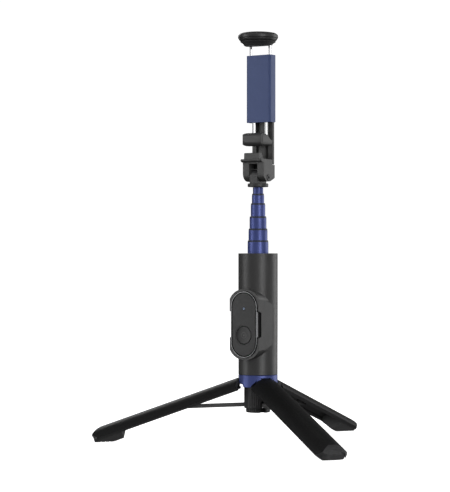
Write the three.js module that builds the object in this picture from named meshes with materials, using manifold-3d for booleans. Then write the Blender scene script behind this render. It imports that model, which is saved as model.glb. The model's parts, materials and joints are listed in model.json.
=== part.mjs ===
// Pocket selfie stick standing on its fold-out tripod, with a spring phone clamp and a detachable remote.
// Millimetres, +Z up, front (remote and clamp face) towards -Y. The pole axis is the Z axis while the pieces
// are made; at the end the whole group moves so that the origin is the centre of its footprint on the floor.
import * as THREE from "three";
import { mergeVertices } from "three/addons/utils/BufferGeometryUtils.js";
import Module from "manifold-3d";

// ---------------------------------------------------------------------------------- driving dimensions
const GAP = 0.3; // between pieces that touch
const RUN = 0.2; // radial clearance of a pin in its eye
const ROUND = 40; // facets of the large cylinders
const POLE_ROUND = 24; // and of the pole

const GRIP_RADIUS = 15;
const CASING_LENGTH = 92.1;
const CASING_WALL = 1.8;
const CASING_TOP_WALL = 2;

// legs: three sectors of the grip's own cylinder, hinged at their upper ends
const HINGE_HEIGHT = 47.8; // above the floor
const HINGE_INSET = 3.2; // inside the grip's surface
const HINGE_PIN_RADIUS = 0.8;
const KNUCKLE_RADIUS = 1.9;
const KNUCKLE_HALF = 4;
const LUG_HALF = 7; // outer faces of the hub's lugs
const LEG_AZIMUTHS = { left: 210, right: 330, rear: 90 }; // degrees from +X
const LEG_LENGTH = 124.6; // hinge to toe, along the leg
const TOE_DEPTH = 5.8; // toe tip below the hinge line
const LEG_WALL = 2;
const RIM_INSET = 3.4; // the side rims reach this far inside the outer face
const RIM_WIDTH = 1.8;
const FOLD_CLEARANCE = 0.25; // each leg to the plane between two folded legs
const LEG_TOP_DROP = 2.6; // crown of the leg's upper edge below the hinge, folded
const LEG_SHOULDER_DROP = 5; // its corners
const TOE_NOSE = 6.1; // length of the rounded toe
const FOOT_LENGTH = 23.5; // toe tip to the foot's rear face, with the leg open
const FOOT_NOSE_RADIUS = 0.6; // inner edge of the folded feet, from the pole axis

// strut column, runner and struts
const COLUMN_RADIUS = 10.7;
const COLUMN_NECK_RADIUS = 9.6;
const COLUMN_BORE = 8.9;
const COLUMN_DROP = 20.8; // lower end below the hinges
const NECK_DROP = 3.3; // where the neck starts below the hinges
const CAP_RADIUS = 9.3;
const CAP_HEIGHT = 3.1;
const CAP_FLOOR_RADIUS = 4.6; // solid middle that the folded struts pass
const STRUT_WIDTH = 3;
const STRUT_EYE_RADIUS = 1.9;
const STRUT_PIN_RADIUS = 0.8;
const STRUT_PIN_ALONG = 52.3; // outer pivot from the hinge, along the leg
const STRUT_PIN_BELOW = 2.9; // and below the hinge line
const RUNNER_PIN_RADIUS = 7.6; // inner pivots from the pole axis
const RUNNER_PIN_RISE = 2.6; // inner pivots above the column's lower end, legs open
const TRUNNION_RADIUS = 0.8;
const TRUNNION_HALF = 2.1;
const RUNNER_BELOW = 2.2;
const RUNNER_ABOVE = 3.2;
const RUNNER_HUB_RADIUS = 3.2; // its solid middle

// hub ring
const HUB_RING = 2; // height of the ring above the legs' arches
const HUB_TOP_RISE = 4.6; // its upper face above the hinges
const TONGUE_DROP = 4.6; // tips of the tongues below the hinges
const ARCH_FLAT_HALF = 4.4;
const ARCH_SHOULDER = 2; // from the foot of the arch to the edge of the leg

// telescopic pole, outer section first
const SECTION_DIAMETERS = [15.9, 14.5, 12.9, 11.1, 9.4, 7.9];
const SECTION_SHOWN = [9.9, 9, 9.3, 10, 7.3, 4.8]; // length of each that shows
const SECTION_LENGTH = 88;
const SECTION_GAP = 0.25; // radial
const INNER_SECTION_BORE = 6.5;
const BUSH_HEIGHT = 5;
const GUIDE_HEIGHT = 20;
const GUIDE_CLEARANCE = 0.2;

// remote control
const REMOTE_HALF_WIDTH = 12;
const REMOTE_LENGTH = 50.2;
const REMOTE_CENTRE_BELOW_TOP = 53.8; // its centre below the casing's upper face
const REMOTE_PROUD = 4; // its face, in front of the grip's surface
const REMOTE_THICK = 8.2;
const REMOTE_WALL = 1;
const FACE_THICK = 1;
const BEZEL_WIDTH = 0.9;
const BUTTON_RADIUS = 6.8;
const BUTTON_BELOW = 8;
const BUTTON_TRAVEL = 0.5;
const LED_RADIUS = 1;
const LED_ABOVE = 12;
const BATTERY_CLEARANCE = 1; // to the shell's side walls
const BATTERY_THICK = 3.2;
const BOSS_RIM = 1.5;
const BOSS_SET_BACK = 0.8; // its front, behind the remote's face
const POCKET_WALL = 1.3;
const NOTCH_HALF_LENGTH = 11;
const NOTCH_DEPTH = 4.6;

// clamp
const FLANGE_RADIUS = 7.9;
const FLANGE_HEIGHT = 2.7;
const TILT_AXIS_RISE = 4.4; // above the flange
const HEAD_RADIUS = 6.1;
const HEAD_HALF = 3.6;
const YOKE_OVER_PLATE = 0.1; // each side
const YOKE_FRONT = -6.4;
const YOKE_BACK = 8.5;
const YOKE_TOP_RISE = 13.8; // above the tilt axis
const YOKE_BOTTOM_DROP = 3;
const TILT_SCREW_RADIUS = 1.5;
const TILT_HEAD_RADIUS = 2.3;
const STOP_HALF = 5.4;
const STOP_FRONT = -9.8;
const STOP_RISE = 4.9; // above the yoke's upper face
const PLATE_INSET = 1.6; // its sides, inside the cover's
const PLATE_FRONT = 5.6;
const PLATE_BACK = 8.3;
const GROOVE_OFFSET = 4.3;
const GROOVE_WIDTH = 2.4;
const GROOVE_DEPTH = 1.5;
const COVER_HALF = 11.2;
const COVER_WALL = 0.8;
const COVER_FRONT_WALL = 1;
const COVER_DEPTH = 7.4;
const COVER_BOTTOM_RISE = 42.3; // above the tilt axis
const COVER_HEIGHT = 51.3;
const ROD_Y = 3.2;
const BRIDGE_FRONT = 1.9; // in front of the rods' axes
const BRIDGE_BACK = 2.1;
const ROD_PITCH = 3.3; // inner rod to outer rod
const INNER_ROD_RADIUS = 1.4;
const OUTER_ROD_INSET = 2.3; // its axis, inside the cover's side
const OUTER_ROD_RADIUS = 1.2;
const BRIDGE_HEIGHT = 4;
const UPPER_BRIDGE_ABOVE_COVER = 10.2; // its underside above the cover's lower edge
const LOWER_BRIDGE_BELOW_COVER = 10.6; // its upper side below the cover's upper edge
const CAP_DISC_RADIUS = 15.4;
const CAP_DISC_HEIGHT = 6.4;
const PAD_TIER_HEIGHT = 3.7;
const PAD_TIER_RADIUS = 10;
const UPPER_JAW_ABOVE_COVER = 6.7; // pad's underside above the cover
const LOWER_PAD_INSET = 2.2; // its sides, inside the jaw's
const LOWER_JAW_FRONT = -9.2;
const LOWER_JAW_BELOW_COVER = 8.4; // the lip's upper face below the cover
const LIP_HEIGHT = 9.9;
const ARM_HEIGHT = 3.9;
const PAD_THICK = 0.9;
const SPRING_WIRE = 0.25; // radius
const SPRING_TURNS = 4;

// ---------------------------------------------------------------------------------- widths, worked out
const HINGE_RADIUS = GRIP_RADIUS - HINGE_INSET;
const ARCH_FOOT_HALF = GRIP_RADIUS * Math.sin(Math.PI / 3) - ARCH_SHOULDER;
const REMOTE_FRONT = -GRIP_RADIUS - REMOTE_PROUD;
const BOSS_FRONT = REMOTE_FRONT + BOSS_SET_BACK;
const BATTERY_RADIUS = REMOTE_HALF_WIDTH - REMOTE_WALL - BATTERY_CLEARANCE;
const PLATE_HALF = COVER_HALF - PLATE_INSET;
const YOKE_HALF = PLATE_HALF + YOKE_OVER_PLATE;
const LOWER_JAW_HALF = PLATE_HALF;
const OUTER_ROD_X = COVER_HALF - OUTER_ROD_INSET;
const INNER_ROD_X = OUTER_ROD_X - ROD_PITCH;

// ---------------------------------------------------------------------------------- heights, worked out
const HUB_TOP = HINGE_HEIGHT + HUB_TOP_RISE;
const CASING_BOTTOM = HUB_TOP + GAP;
const CASING_TOP = CASING_BOTTOM + CASING_LENGTH;
const COLUMN_BOTTOM = HINGE_HEIGHT - COLUMN_DROP;
const CAP_BOTTOM = COLUMN_BOTTOM - GAP - CAP_HEIGHT;
const COLUMN_TOP = HUB_TOP + 3.6;
const GUIDE_BASE = COLUMN_TOP + GAP;
const SECTION_TOPS = SECTION_SHOWN.map((_, i) => CASING_TOP + sum(SECTION_SHOWN.slice(0, i + 1)));
const FLANGE_BOTTOM = SECTION_TOPS.at(-1) + GAP;
const FLANGE_TOP = FLANGE_BOTTOM + FLANGE_HEIGHT;
const TILT_AXIS = FLANGE_TOP + TILT_AXIS_RISE;
const YOKE_TOP = TILT_AXIS + YOKE_TOP_RISE;
const YOKE_BOTTOM = TILT_AXIS - YOKE_BOTTOM_DROP;
const COVER_BOTTOM = TILT_AXIS + COVER_BOTTOM_RISE;
const COVER_TOP = COVER_BOTTOM + COVER_HEIGHT;
const UPPER_PAD_BOTTOM = COVER_TOP + UPPER_JAW_ABOVE_COVER;
const UPPER_CAP_BOTTOM = UPPER_PAD_BOTTOM + PAD_TIER_HEIGHT + GAP;
const LIP_TOP = COVER_BOTTOM - LOWER_JAW_BELOW_COVER;
const REMOTE_CENTRE = CASING_TOP - REMOTE_CENTRE_BELOW_TOP;
const REMOTE_BACK = REMOTE_FRONT + REMOTE_THICK;

// the slope at which the toe tip of an open leg meets the floor, and the fold that takes it to vertical
const LEG_SLOPE =
  Math.asin(HINGE_HEIGHT / Math.hypot(LEG_LENGTH, TOE_DEPTH)) - Math.atan2(TOE_DEPTH, LEG_LENGTH);
const LEG_FOLD = Math.PI / 2 - LEG_SLOPE;
const FOOT_HEEL_RADIUS = onOpenLeg(LEG_LENGTH, -TOE_DEPTH).x - FOOT_LENGTH; // from the pole axis

// strut: both pivots with the legs open, in the plane of a leg (distance from the pole axis, height)
const STRUT_OUTER = onOpenLeg(STRUT_PIN_ALONG, -STRUT_PIN_BELOW);
const STRUT_INNER = new THREE.Vector2(RUNNER_PIN_RADIUS, COLUMN_BOTTOM + RUNNER_PIN_RISE);

// ---------------------------------------------------------------------------------- materials
const paint = (color, roughness, metalness = 0) =>
  new THREE.MeshStandardMaterial({ color, roughness, metalness });
const CHARCOAL = paint(0x4a4a4a, 0.5);
const BLACK_PLASTIC = paint(0x1d1d1e, 0.5);
const DARK_GREY = paint(0x3a3a3b, 0.5);
const BLUE_METAL = paint(0x454a86, 0.32, 0.8);
const BLUE_COVER = paint(0x4b5882, 0.45, 0.3);
const CHROME = paint(0xe6e6e6, 0.12, 1);
const STEEL = paint(0x9a9a9c, 0.35, 1);
const RUBBER = paint(0x151516, 0.85);
const BOARD = paint(0x1f5a35, 0.6);
const LENS = paint(0x8fa6c8, 0.2);

// ---------------------------------------------------------------------------------- solid helpers
const wasm = await Module();
wasm.setup();

function sum(values) {
  return values.reduce((a, b) => a + b, 0);
}

// A three.js geometry as a manifold solid.
function solid(geometry) {
  const bare = new THREE.BufferGeometry().setAttribute("position", geometry.getAttribute("position"));
  bare.setIndex(geometry.index);
  const merged = mergeVertices(bare, 1e-4);
  const mesh = new wasm.Mesh({
    numProp: 3,
    vertProperties: merged.attributes.position.array,
    triVerts: new Uint32Array(merged.index.array),
  });
  return new wasm.Manifold(mesh);
}

// A manifold solid as a three.js geometry with flat shading.
function geometryOf(body) {
  const mesh = body.getMesh();
  const geometry = new THREE.BufferGeometry();
  geometry.setAttribute("position", new THREE.BufferAttribute(mesh.vertProperties, 3));
  geometry.setIndex(new THREE.BufferAttribute(mesh.triVerts, 1));
  const flat = geometry.toNonIndexed();
  flat.computeVertexNormals();
  return flat;
}

function union(...bodies) {
  return bodies.reduce((a, b) => a.add(b));
}

function cut(body, ...cutters) {
  return cutters.reduce((a, b) => a.subtract(b), body);
}

function box(x0, x1, y0, y1, z0, z1) {
  const geometry = new THREE.BoxGeometry(x1 - x0, y1 - y0, z1 - z0);
  return solid(geometry.translate((x0 + x1) / 2, (y0 + y1) / 2, (z0 + z1) / 2));
}

// A body of revolution about Z from a closed outline of [radius, height] points, anticlockwise.
function turned(outline, sides = ROUND) {
  const points = [...outline, outline[0]].map(([r, z]) => new THREE.Vector2(r, z));
  return solid(new THREE.LatheGeometry(points, sides).rotateX(Math.PI / 2));
}

function tube(inner, outer, z0, z1, sides = ROUND) {
  return turned([[inner, z0], [outer, z0], [outer, z1], [inner, z1]], sides);
}

function rodZ(radius, z0, z1, x = 0, y = 0, sides = 20) {
  const geometry = new THREE.CylinderGeometry(radius, radius, z1 - z0, sides).rotateX(Math.PI / 2);
  return solid(geometry.translate(x, y, (z0 + z1) / 2));
}

function rodX(radius, x0, x1, y, z, sides = 20) {
  const geometry = new THREE.CylinderGeometry(radius, radius, x1 - x0, sides).rotateZ(Math.PI / 2);
  return solid(geometry.translate((x0 + x1) / 2, y, z));
}

function rodY(radius, y0, y1, x, z, sides = 20) {
  const geometry = new THREE.CylinderGeometry(radius, radius, y1 - y0, sides);
  return solid(geometry.translate(x, (y0 + y1) / 2, z));
}

function outline(points) {
  return new THREE.Shape(points.map(([a, b]) => new THREE.Vector2(a, b)));
}

const [X, Y, Z] = [new THREE.Vector3(1, 0, 0), new THREE.Vector3(0, 1, 0), new THREE.Vector3(0, 0, 1)];

function extruded(shape, depth, basis, curveSegments) {
  const geometry = new THREE.ExtrudeGeometry(shape, { depth, bevelEnabled: false, curveSegments });
  return geometry.applyMatrix4(basis);
}

// Outlines in the plan (x, y), in the front view (x, z) and in the side view (y, z).
function prismZ(shape, z0, z1, curveSegments = 8) {
  return solid(extruded(shape, z1 - z0, new THREE.Matrix4(), curveSegments).translate(0, 0, z0));
}

function prismY(shape, y0, y1, curveSegments = 8) {
  const basis = new THREE.Matrix4().makeBasis(X, Z, Y.clone().negate());
  return solid(extruded(shape, y1 - y0, basis, curveSegments).translate(0, y1, 0));
}

function prismX(shape, x0, x1, curveSegments = 8) {
  const basis = new THREE.Matrix4().makeBasis(Y, Z, X);
  return solid(extruded(shape, x1 - x0, basis, curveSegments).translate(x0, 0, 0));
}

function stadium(halfWidth, halfLength, centre) {
  const shape = new THREE.Shape();
  const straight = halfLength - halfWidth;
  shape.absarc(0, centre + straight, halfWidth, 0, Math.PI);
  shape.absarc(0, centre - straight, halfWidth, Math.PI, 2 * Math.PI);
  return shape;
}

function roundedRectangle(x0, x1, y0, y1, r) {
  const shape = new THREE.Shape();
  shape.absarc(x1 - r, y1 - r, r, 0, Math.PI / 2);
  shape.absarc(x0 + r, y1 - r, r, Math.PI / 2, Math.PI);
  shape.absarc(x0 + r, y0 + r, r, Math.PI, 1.5 * Math.PI);
  shape.absarc(x1 - r, y0 + r, r, 1.5 * Math.PI, 2 * Math.PI);
  return shape;
}

// The same solid once for each leg, turned to its azimuth about the pole axis.
function atLegs(body) {
  return Object.values(LEG_AZIMUTHS).map((azimuth) => body.rotate([0, 0, azimuth]));
}

// A piece in the exported scene: one named mesh.
function piece(parent, name, body, material) {
  const mesh = new THREE.Mesh(geometryOf(body), material);
  mesh.name = name;
  parent.add(mesh);
  return mesh;
}

// ---------------------------------------------------------------------------------- grip
// The boss carries the remote: its front is flat and its flanks run out tangentially to the cylinder.
function bossBody() {
  const half = REMOTE_HALF_WIDTH + BOSS_RIM;
  const reach = Math.hypot(half, BOSS_FRONT);
  const touch = Math.atan2(BOSS_FRONT, half) + Math.acos(GRIP_RADIUS / reach);
  const [tx, ty] = [GRIP_RADIUS * Math.cos(touch), GRIP_RADIUS * Math.sin(touch)];
  const plan = outline([[-half, BOSS_FRONT], [half, BOSS_FRONT], [tx, ty], [-tx, ty]]);
  const halfLength = REMOTE_LENGTH / 2 + BOSS_RIM;
  const front = stadium(half, halfLength, REMOTE_CENTRE);
  const side = roundedRectangle(-tx, tx, REMOTE_CENTRE - halfLength, REMOTE_CENTRE + halfLength, half);
  const flared = prismZ(plan, REMOTE_CENTRE - halfLength, REMOTE_CENTRE + halfLength);
  return union(prismY(front, BOSS_FRONT, ty), flared.intersect(prismY(side, BOSS_FRONT, ty)));
}

function casing() {
  const shell = rodZ(GRIP_RADIUS, CASING_BOTTOM, CASING_TOP, 0, 0, ROUND);
  const inside = rodZ(GRIP_RADIUS - CASING_WALL, CASING_BOTTOM - 1, CASING_TOP - CASING_TOP_WALL, 0, 0, ROUND);
  const mouth = rodZ(SECTION_DIAMETERS[0] / 2 + GUIDE_CLEARANCE, CASING_TOP - 5, CASING_TOP + 1, 0, 0, POLE_ROUND);
  const pocket = stadium(REMOTE_HALF_WIDTH + GAP, REMOTE_LENGTH / 2 + GAP, REMOTE_CENTRE);
  const bay = prismY(pocket, REMOTE_FRONT - 1, REMOTE_BACK + GAP);
  const bayWall = prismY(pocket, REMOTE_BACK + GAP, REMOTE_BACK + GAP + POCKET_WALL);
  const lining = union(bossBody(), bayWall.intersect(rodZ(GRIP_RADIUS, CASING_BOTTOM, CASING_TOP, 0, 0, ROUND)));
  const front = box(-GRIP_RADIUS, GRIP_RADIUS, BOSS_FRONT, REMOTE_BACK + GAP + POCKET_WALL, 0, CASING_TOP);
  const hollow = cut(inside, union(bossBody(), bayWall).intersect(front));
  const notches = [-1, 1].map((side) => {
    const near = side * (REMOTE_HALF_WIDTH - 1);
    const far = side * (GRIP_RADIUS + 3);
    const [x0, x1] = [Math.min(near, far), Math.max(near, far)];
    const [z0, z1] = [REMOTE_CENTRE - NOTCH_HALF_LENGTH, REMOTE_CENTRE + NOTCH_HALF_LENGTH];
    const depth = BOSS_FRONT + NOTCH_DEPTH;
    const plan = outline(
      side > 0
        ? [[near, BOSS_FRONT - 1], [REMOTE_HALF_WIDTH + 2.2, BOSS_FRONT - 1], [REMOTE_HALF_WIDTH + 2.2, depth - 2], [near, depth]]
        : [[near, depth], [-REMOTE_HALF_WIDTH - 2.2, depth - 2], [-REMOTE_HALF_WIDTH - 2.2, BOSS_FRONT - 1], [near, BOSS_FRONT - 1]],
    );
    return prismZ(plan, z0, z1).intersect(box(x0, x1, BOSS_FRONT - 2, depth + 1, z0, z1));
  });
  return cut(union(shell, lining), hollow, bay, mouth, ...notches);
}

function hub() {
  const ring = tube(COLUMN_NECK_RADIUS + GAP, GRIP_RADIUS, HINGE_HEIGHT - TONGUE_DROP, HUB_TOP, ROUND);
  const archTop = HUB_TOP - HUB_RING;
  const tip = HINGE_HEIGHT - TONGUE_DROP;
  const arch = new THREE.Shape();
  arch.moveTo(-ARCH_FOOT_HALF, tip - 2);
  arch.lineTo(ARCH_FOOT_HALF, tip - 2);
  arch.lineTo(ARCH_FOOT_HALF, tip + 0.8);
  const bulge = (ARCH_FOOT_HALF - ARCH_FLAT_HALF) / 2;
  arch.bezierCurveTo(ARCH_FOOT_HALF - 0.6, tip + 2.4, ARCH_FLAT_HALF + bulge, archTop, ARCH_FLAT_HALF, archTop);
  arch.lineTo(-ARCH_FLAT_HALF, archTop);
  arch.bezierCurveTo(-ARCH_FLAT_HALF - bulge, archTop, -ARCH_FOOT_HALF + 0.6, tip + 2.4, -ARCH_FOOT_HALF, tip + 0.8);
  arch.closePath();
  const basis = new THREE.Matrix4().makeBasis(Y, Z, X);
  const windows = atLegs(solid(extruded(arch, GRIP_RADIUS + 3, basis, 5)));
  const collar = tube(COLUMN_RADIUS + GAP, GRIP_RADIUS + 1, tip - 1, HINGE_HEIGHT - NECK_DROP + GAP, ROUND);
  const lower = tube(0.5, COLUMN_RADIUS + GAP, tip - 1, HINGE_HEIGHT - NECK_DROP + GAP, ROUND);
  const shell = cut(ring, ...windows, lower.subtract(collar));
  const pinHole = legWise(HINGE_PIN_RADIUS + RUN, LUG_HALF + 1);
  return cut(union(shell, ...atLegs(lugs())), ...atLegs(pinHole));
}

// A rod across a leg, through its hinge, for the leg at azimuth 0.
function legWise(radius, half) {
  return rodY(radius, -half, half, HINGE_RADIUS, HINGE_HEIGHT);
}

// The hub's two lugs for the hinge pin of the leg at azimuth 0.
function lugs() {
  const inner = KNUCKLE_HALF + GAP;
  const neck = [COLUMN_NECK_RADIUS + GAP + 0.5, HINGE_RADIUS + KNUCKLE_RADIUS];
  const sides = [-1, 1].map((side) => {
    const [y0, y1] = side > 0 ? [inner, LUG_HALF] : [-LUG_HALF, -inner];
    const round = rodY(KNUCKLE_RADIUS, y0, y1, HINGE_RADIUS, HINGE_HEIGHT);
    return union(round, box(neck[0], neck[1], y0, y1, HINGE_HEIGHT, HUB_TOP - 0.4));
  });
  const within = rodZ(GRIP_RADIUS - 0.2, 0, HUB_TOP + 1, 0, 0, ROUND);
  return cut(union(...sides), rodZ(COLUMN_NECK_RADIUS + GAP, 0, HUB_TOP + 1, 0, 0, ROUND)).intersect(within);
}

function strutSlot(inner, outer, z0, z1) {
  return box(inner, outer, -STRUT_WIDTH / 2 - 2 * GAP, STRUT_WIDTH / 2 + 2 * GAP, z0, z1);
}

function column() {
  const neckAt = HINGE_HEIGHT - NECK_DROP;
  const body = turned([
    [COLUMN_BORE, COLUMN_BOTTOM], [COLUMN_RADIUS, COLUMN_BOTTOM], [COLUMN_RADIUS, neckAt],
    [COLUMN_NECK_RADIUS, neckAt], [COLUMN_NECK_RADIUS, COLUMN_TOP], [COLUMN_BORE, COLUMN_TOP],
  ]);
  const slotTop = HINGE_HEIGHT + 3.2;
  return cut(body, ...atLegs(strutSlot(COLUMN_BORE - 2, COLUMN_RADIUS + 1, COLUMN_BOTTOM - 1, slotTop)));
}

function baseCap() {
  const disc = turned([
    [0, CAP_BOTTOM], [CAP_RADIUS - 0.5, CAP_BOTTOM], [CAP_RADIUS, CAP_BOTTOM + 0.5],
    [CAP_RADIUS, CAP_BOTTOM + CAP_HEIGHT], [0, CAP_BOTTOM + CAP_HEIGHT],
  ]);
  const slots = atLegs(strutSlot(CAP_FLOOR_RADIUS, CAP_RADIUS + 1, CAP_BOTTOM - 1, COLUMN_BOTTOM));
  const screwHole = rodZ(1.6, CAP_BOTTOM - 1, COLUMN_BOTTOM);
  const sink = rodZ(2.9, CAP_BOTTOM - 1, CAP_BOTTOM + 1.2);
  return cut(disc, ...slots, screwHole, sink);
}

// Screw that holds the cap to the column's spider: its head sits in the cap.
function baseScrew() {
  return union(rodZ(2.6, CAP_BOTTOM + 0.1, CAP_BOTTOM + 1, 0, 0, 20), rodZ(1.3, CAP_BOTTOM + 1, COLUMN_BOTTOM - 0.4));
}

// Rides in the column and carries the struts' trunnions in three open pockets.
function runner() {
  const z = STRUT_INNER.y;
  const body = rodZ(COLUMN_BORE - GAP, z - RUNNER_BELOW, z + RUNNER_ABOVE, 0, 0, ROUND);
  const reach = COLUMN_BORE + 1;
  const slots = atLegs(strutSlot(RUNNER_HUB_RADIUS, reach, z - RUNNER_BELOW - 1, z + RUNNER_ABOVE + 1));
  const pocketFloor = z - TRUNNION_RADIUS - GAP;
  const half = TRUNNION_HALF + GAP;
  const pockets = atLegs(box(0.8, RUNNER_PIN_RADIUS + TRUNNION_RADIUS + GAP, -half, half, pocketFloor, z + RUNNER_ABOVE + 1));
  return cut(body, ...slots, ...pockets);
}

// ---------------------------------------------------------------------------------- legs
// A point of the open leg in its own plane: along the leg from the hinge, and out from the hinge line.
function onOpenLeg(along, out) {
  const [c, s] = [Math.cos(LEG_SLOPE), Math.sin(LEG_SLOPE)];
  return new THREE.Vector2(HINGE_RADIUS + along * c + out * s, HINGE_HEIGHT - along * s + out * c);
}

// The sector of space that a folded leg may fill, kept back from the planes between two legs.
function sector(setBack, z0, z1) {
  const far = GRIP_RADIUS + 8;
  const spread = Math.tan(Math.PI / 3);
  const nearX = setBack / Math.sin(Math.PI / 3);
  const half = (far - nearX) * spread;
  return prismZ(outline([[nearX, 0], [far, -half], [far, half]]), z0, z1);
}

// The region beyond the rounded toe, in the side view of a folded leg.
function beyondToe(nose, shorter) {
  const [root, tip] = [HINGE_HEIGHT - LEG_LENGTH + nose, HINGE_HEIGHT - LEG_LENGTH + shorter];
  const crown = GRIP_RADIUS + 0.01;
  const tipRadius = HINGE_RADIUS - TOE_DEPTH;
  const shape = new THREE.Shape();
  shape.moveTo(-5, tip);
  shape.lineTo(tipRadius, tip);
  const steps = 6;
  for (let i = 1; i <= steps; i++) {
    const turn = (i / steps) * (Math.PI / 2);
    shape.lineTo(tipRadius + (crown - tipRadius) * Math.sin(turn), root - (root - tip) * Math.cos(turn));
  }
  shape.lineTo(crown + 5, root);
  shape.lineTo(crown + 5, tip - 20);
  shape.lineTo(-5, tip - 20);
  shape.closePath();
  const basis = new THREE.Matrix4().makeBasis(X, Z, Y.clone().negate());
  return solid(extruded(shape, 60, basis, 8).translate(0, 30, 0));
}

// The region past the toe's rounded plan.
function besideToe(shorter) {
  const tip = HINGE_HEIGHT - LEG_LENGTH + shorter;
  const half = GRIP_RADIUS * Math.sin(Math.PI / 3);
  const shape = new THREE.Shape();
  shape.moveTo(-half - 3, tip - 20);
  shape.lineTo(half + 3, tip - 20);
  shape.lineTo(half + 3, tip + half * 0.62);
  const steps = 10;
  for (let i = 0; i <= steps; i++) {
    const turn = (i / steps) * Math.PI;
    shape.lineTo(half * Math.cos(turn), tip + half * 0.62 * (1 - Math.sin(turn)));
  }
  shape.lineTo(-half - 3, tip + half * 0.62);
  shape.closePath();
  const basis = new THREE.Matrix4().makeBasis(Y, Z, X);
  return solid(extruded(shape, 40, basis, 8).translate(-10, 0, 0));
}

// Everything above the leg's arched upper edge, folded.
function aboveLeg() {
  const crown = HINGE_HEIGHT - LEG_TOP_DROP;
  const shoulder = HINGE_HEIGHT - LEG_SHOULDER_DROP;
  const shape = new THREE.Shape();
  shape.moveTo(-20, shoulder);
  shape.lineTo(-ARCH_FOOT_HALF + 0.5, shoulder);
  shape.quadraticCurveTo(-ARCH_FLAT_HALF - 3, crown, -ARCH_FLAT_HALF, crown);
  shape.lineTo(ARCH_FLAT_HALF, crown);
  shape.quadraticCurveTo(ARCH_FLAT_HALF + 3, crown, ARCH_FOOT_HALF - 0.5, shoulder);
  shape.lineTo(20, shoulder);
  shape.lineTo(20, crown + 20);
  shape.lineTo(-20, crown + 20);
  shape.closePath();
  const basis = new THREE.Matrix4().makeBasis(Y, Z, X);
  return solid(extruded(shape, GRIP_RADIUS + 5, basis, 6));
}

// The floor below an open leg, turned with the leg to where it would be if the leg were folded.
function floorSeenFromFoldedLeg() {
  const below = new THREE.BoxGeometry(400, 100, 100).translate(0, 0, -50);
  below.translate(-HINGE_RADIUS, 0, -HINGE_HEIGHT).rotateY(LEG_FOLD).translate(HINGE_RADIUS, 0, HINGE_HEIGHT);
  return solid(below);
}

// All leg pieces are made folded, at azimuth 0, and hang in a group that turns about the hinge.
function legShell() {
  const [top, bottom] = [HINGE_HEIGHT, HINGE_HEIGHT - LEG_LENGTH - 1];
  const inner = GRIP_RADIUS - LEG_WALL;
  const wall = tube(GRIP_RADIUS - RIM_INSET, GRIP_RADIUS, bottom, top, ROUND);
  const channel = rodZ(inner, bottom - 1, top + 1, 0, 0, ROUND);
  const rims = channel.intersect(sector(FOLD_CLEARANCE + RIM_WIDTH, bottom - 1, top + 1));
  const arc = cut(wall.intersect(sector(FOLD_CLEARANCE, bottom, top)), rims);
  const outer = cut(arc, aboveLeg(), beyondToe(TOE_NOSE, 0), besideToe(0));

  const knuckle = legWise(KNUCKLE_RADIUS, KNUCKLE_HALF);
  const web = outline([
    [HINGE_RADIUS - 0.4, HINGE_HEIGHT - KNUCKLE_RADIUS + 0.1],
    [HINGE_RADIUS + KNUCKLE_RADIUS - 0.3, HINGE_HEIGHT - 0.6],
    [GRIP_RADIUS - 0.2, HINGE_HEIGHT - LEG_TOP_DROP - 0.2],
    [GRIP_RADIUS - 0.8, HINGE_HEIGHT - LEG_TOP_DROP - 3],
    [inner - 0.2, HINGE_HEIGHT - LEG_TOP_DROP - 3],
  ]);
  const websolid = prismY(web, -KNUCKLE_HALF, KNUCKLE_HALF);

  const pinHeight = HINGE_HEIGHT - STRUT_PIN_ALONG;
  const pinRadius = HINGE_RADIUS - STRUT_PIN_BELOW;
  const eye = STRUT_EYE_RADIUS;
  const cheeks = [-1, 1].map((side) => {
    const [near, far] = [STRUT_WIDTH / 2 + GAP, STRUT_WIDTH / 2 + GAP + 1.6];
    const [y0, y1] = side > 0 ? [near, far] : [-far, -near];
    const block = box(pinRadius, inner + 0.6, y0, y1, pinHeight - eye, pinHeight + eye);
    return union(block, rodY(eye, y0, y1, pinRadius, pinHeight));
  });
  const holes = [legWise(HINGE_PIN_RADIUS + RUN, KNUCKLE_HALF + 1)];
  holes.push(rodY(STRUT_PIN_RADIUS + RUN, -6, 6, pinRadius, pinHeight));
  return cut(union(outer, knuckle, websolid, ...cheeks), ...holes);
}

function legFoot() {
  const bottom = HINGE_HEIGHT - LEG_LENGTH - 1;
  const heelTop = bottom + 40;
  const fill = rodZ(GRIP_RADIUS - LEG_WALL - GAP, bottom, heelTop, 0, 0, ROUND);
  const wedge = fill.intersect(sector(FOLD_CLEARANCE, bottom - 1, heelTop + 1));
  const rimBand = tube(GRIP_RADIUS - RIM_INSET - GAP, GRIP_RADIUS, bottom - 1, heelTop + 1, ROUND);
  const kept = sector(FOLD_CLEARANCE + RIM_WIDTH + GAP, bottom - 2, heelTop + 2);
  const rims = cut(rimBand, kept);
  const centre = box(-3, FOOT_NOSE_RADIUS, -5, 5, bottom - 1, heelTop + 1);
  // behind the heel, which is a vertical face when the leg is open
  const behind = new THREE.BoxGeometry(100, 100, 200).translate(FOOT_HEEL_RADIUS - 50, 0, 0);
  behind.translate(-HINGE_RADIUS, 0, -HINGE_HEIGHT).rotateY(LEG_FOLD).translate(HINGE_RADIUS, 0, HINGE_HEIGHT);
  return cut(wedge, rims, centre, solid(behind), floorSeenFromFoldedLeg(), beyondToe(TOE_NOSE, 0.6), besideToe(0.9));
}

function strutPin() {
  const half = STRUT_WIDTH / 2 + GAP + 1.6;
  return rodY(STRUT_PIN_RADIUS, -half, half, HINGE_RADIUS - STRUT_PIN_BELOW, HINGE_HEIGHT - STRUT_PIN_ALONG, 16);
}

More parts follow.
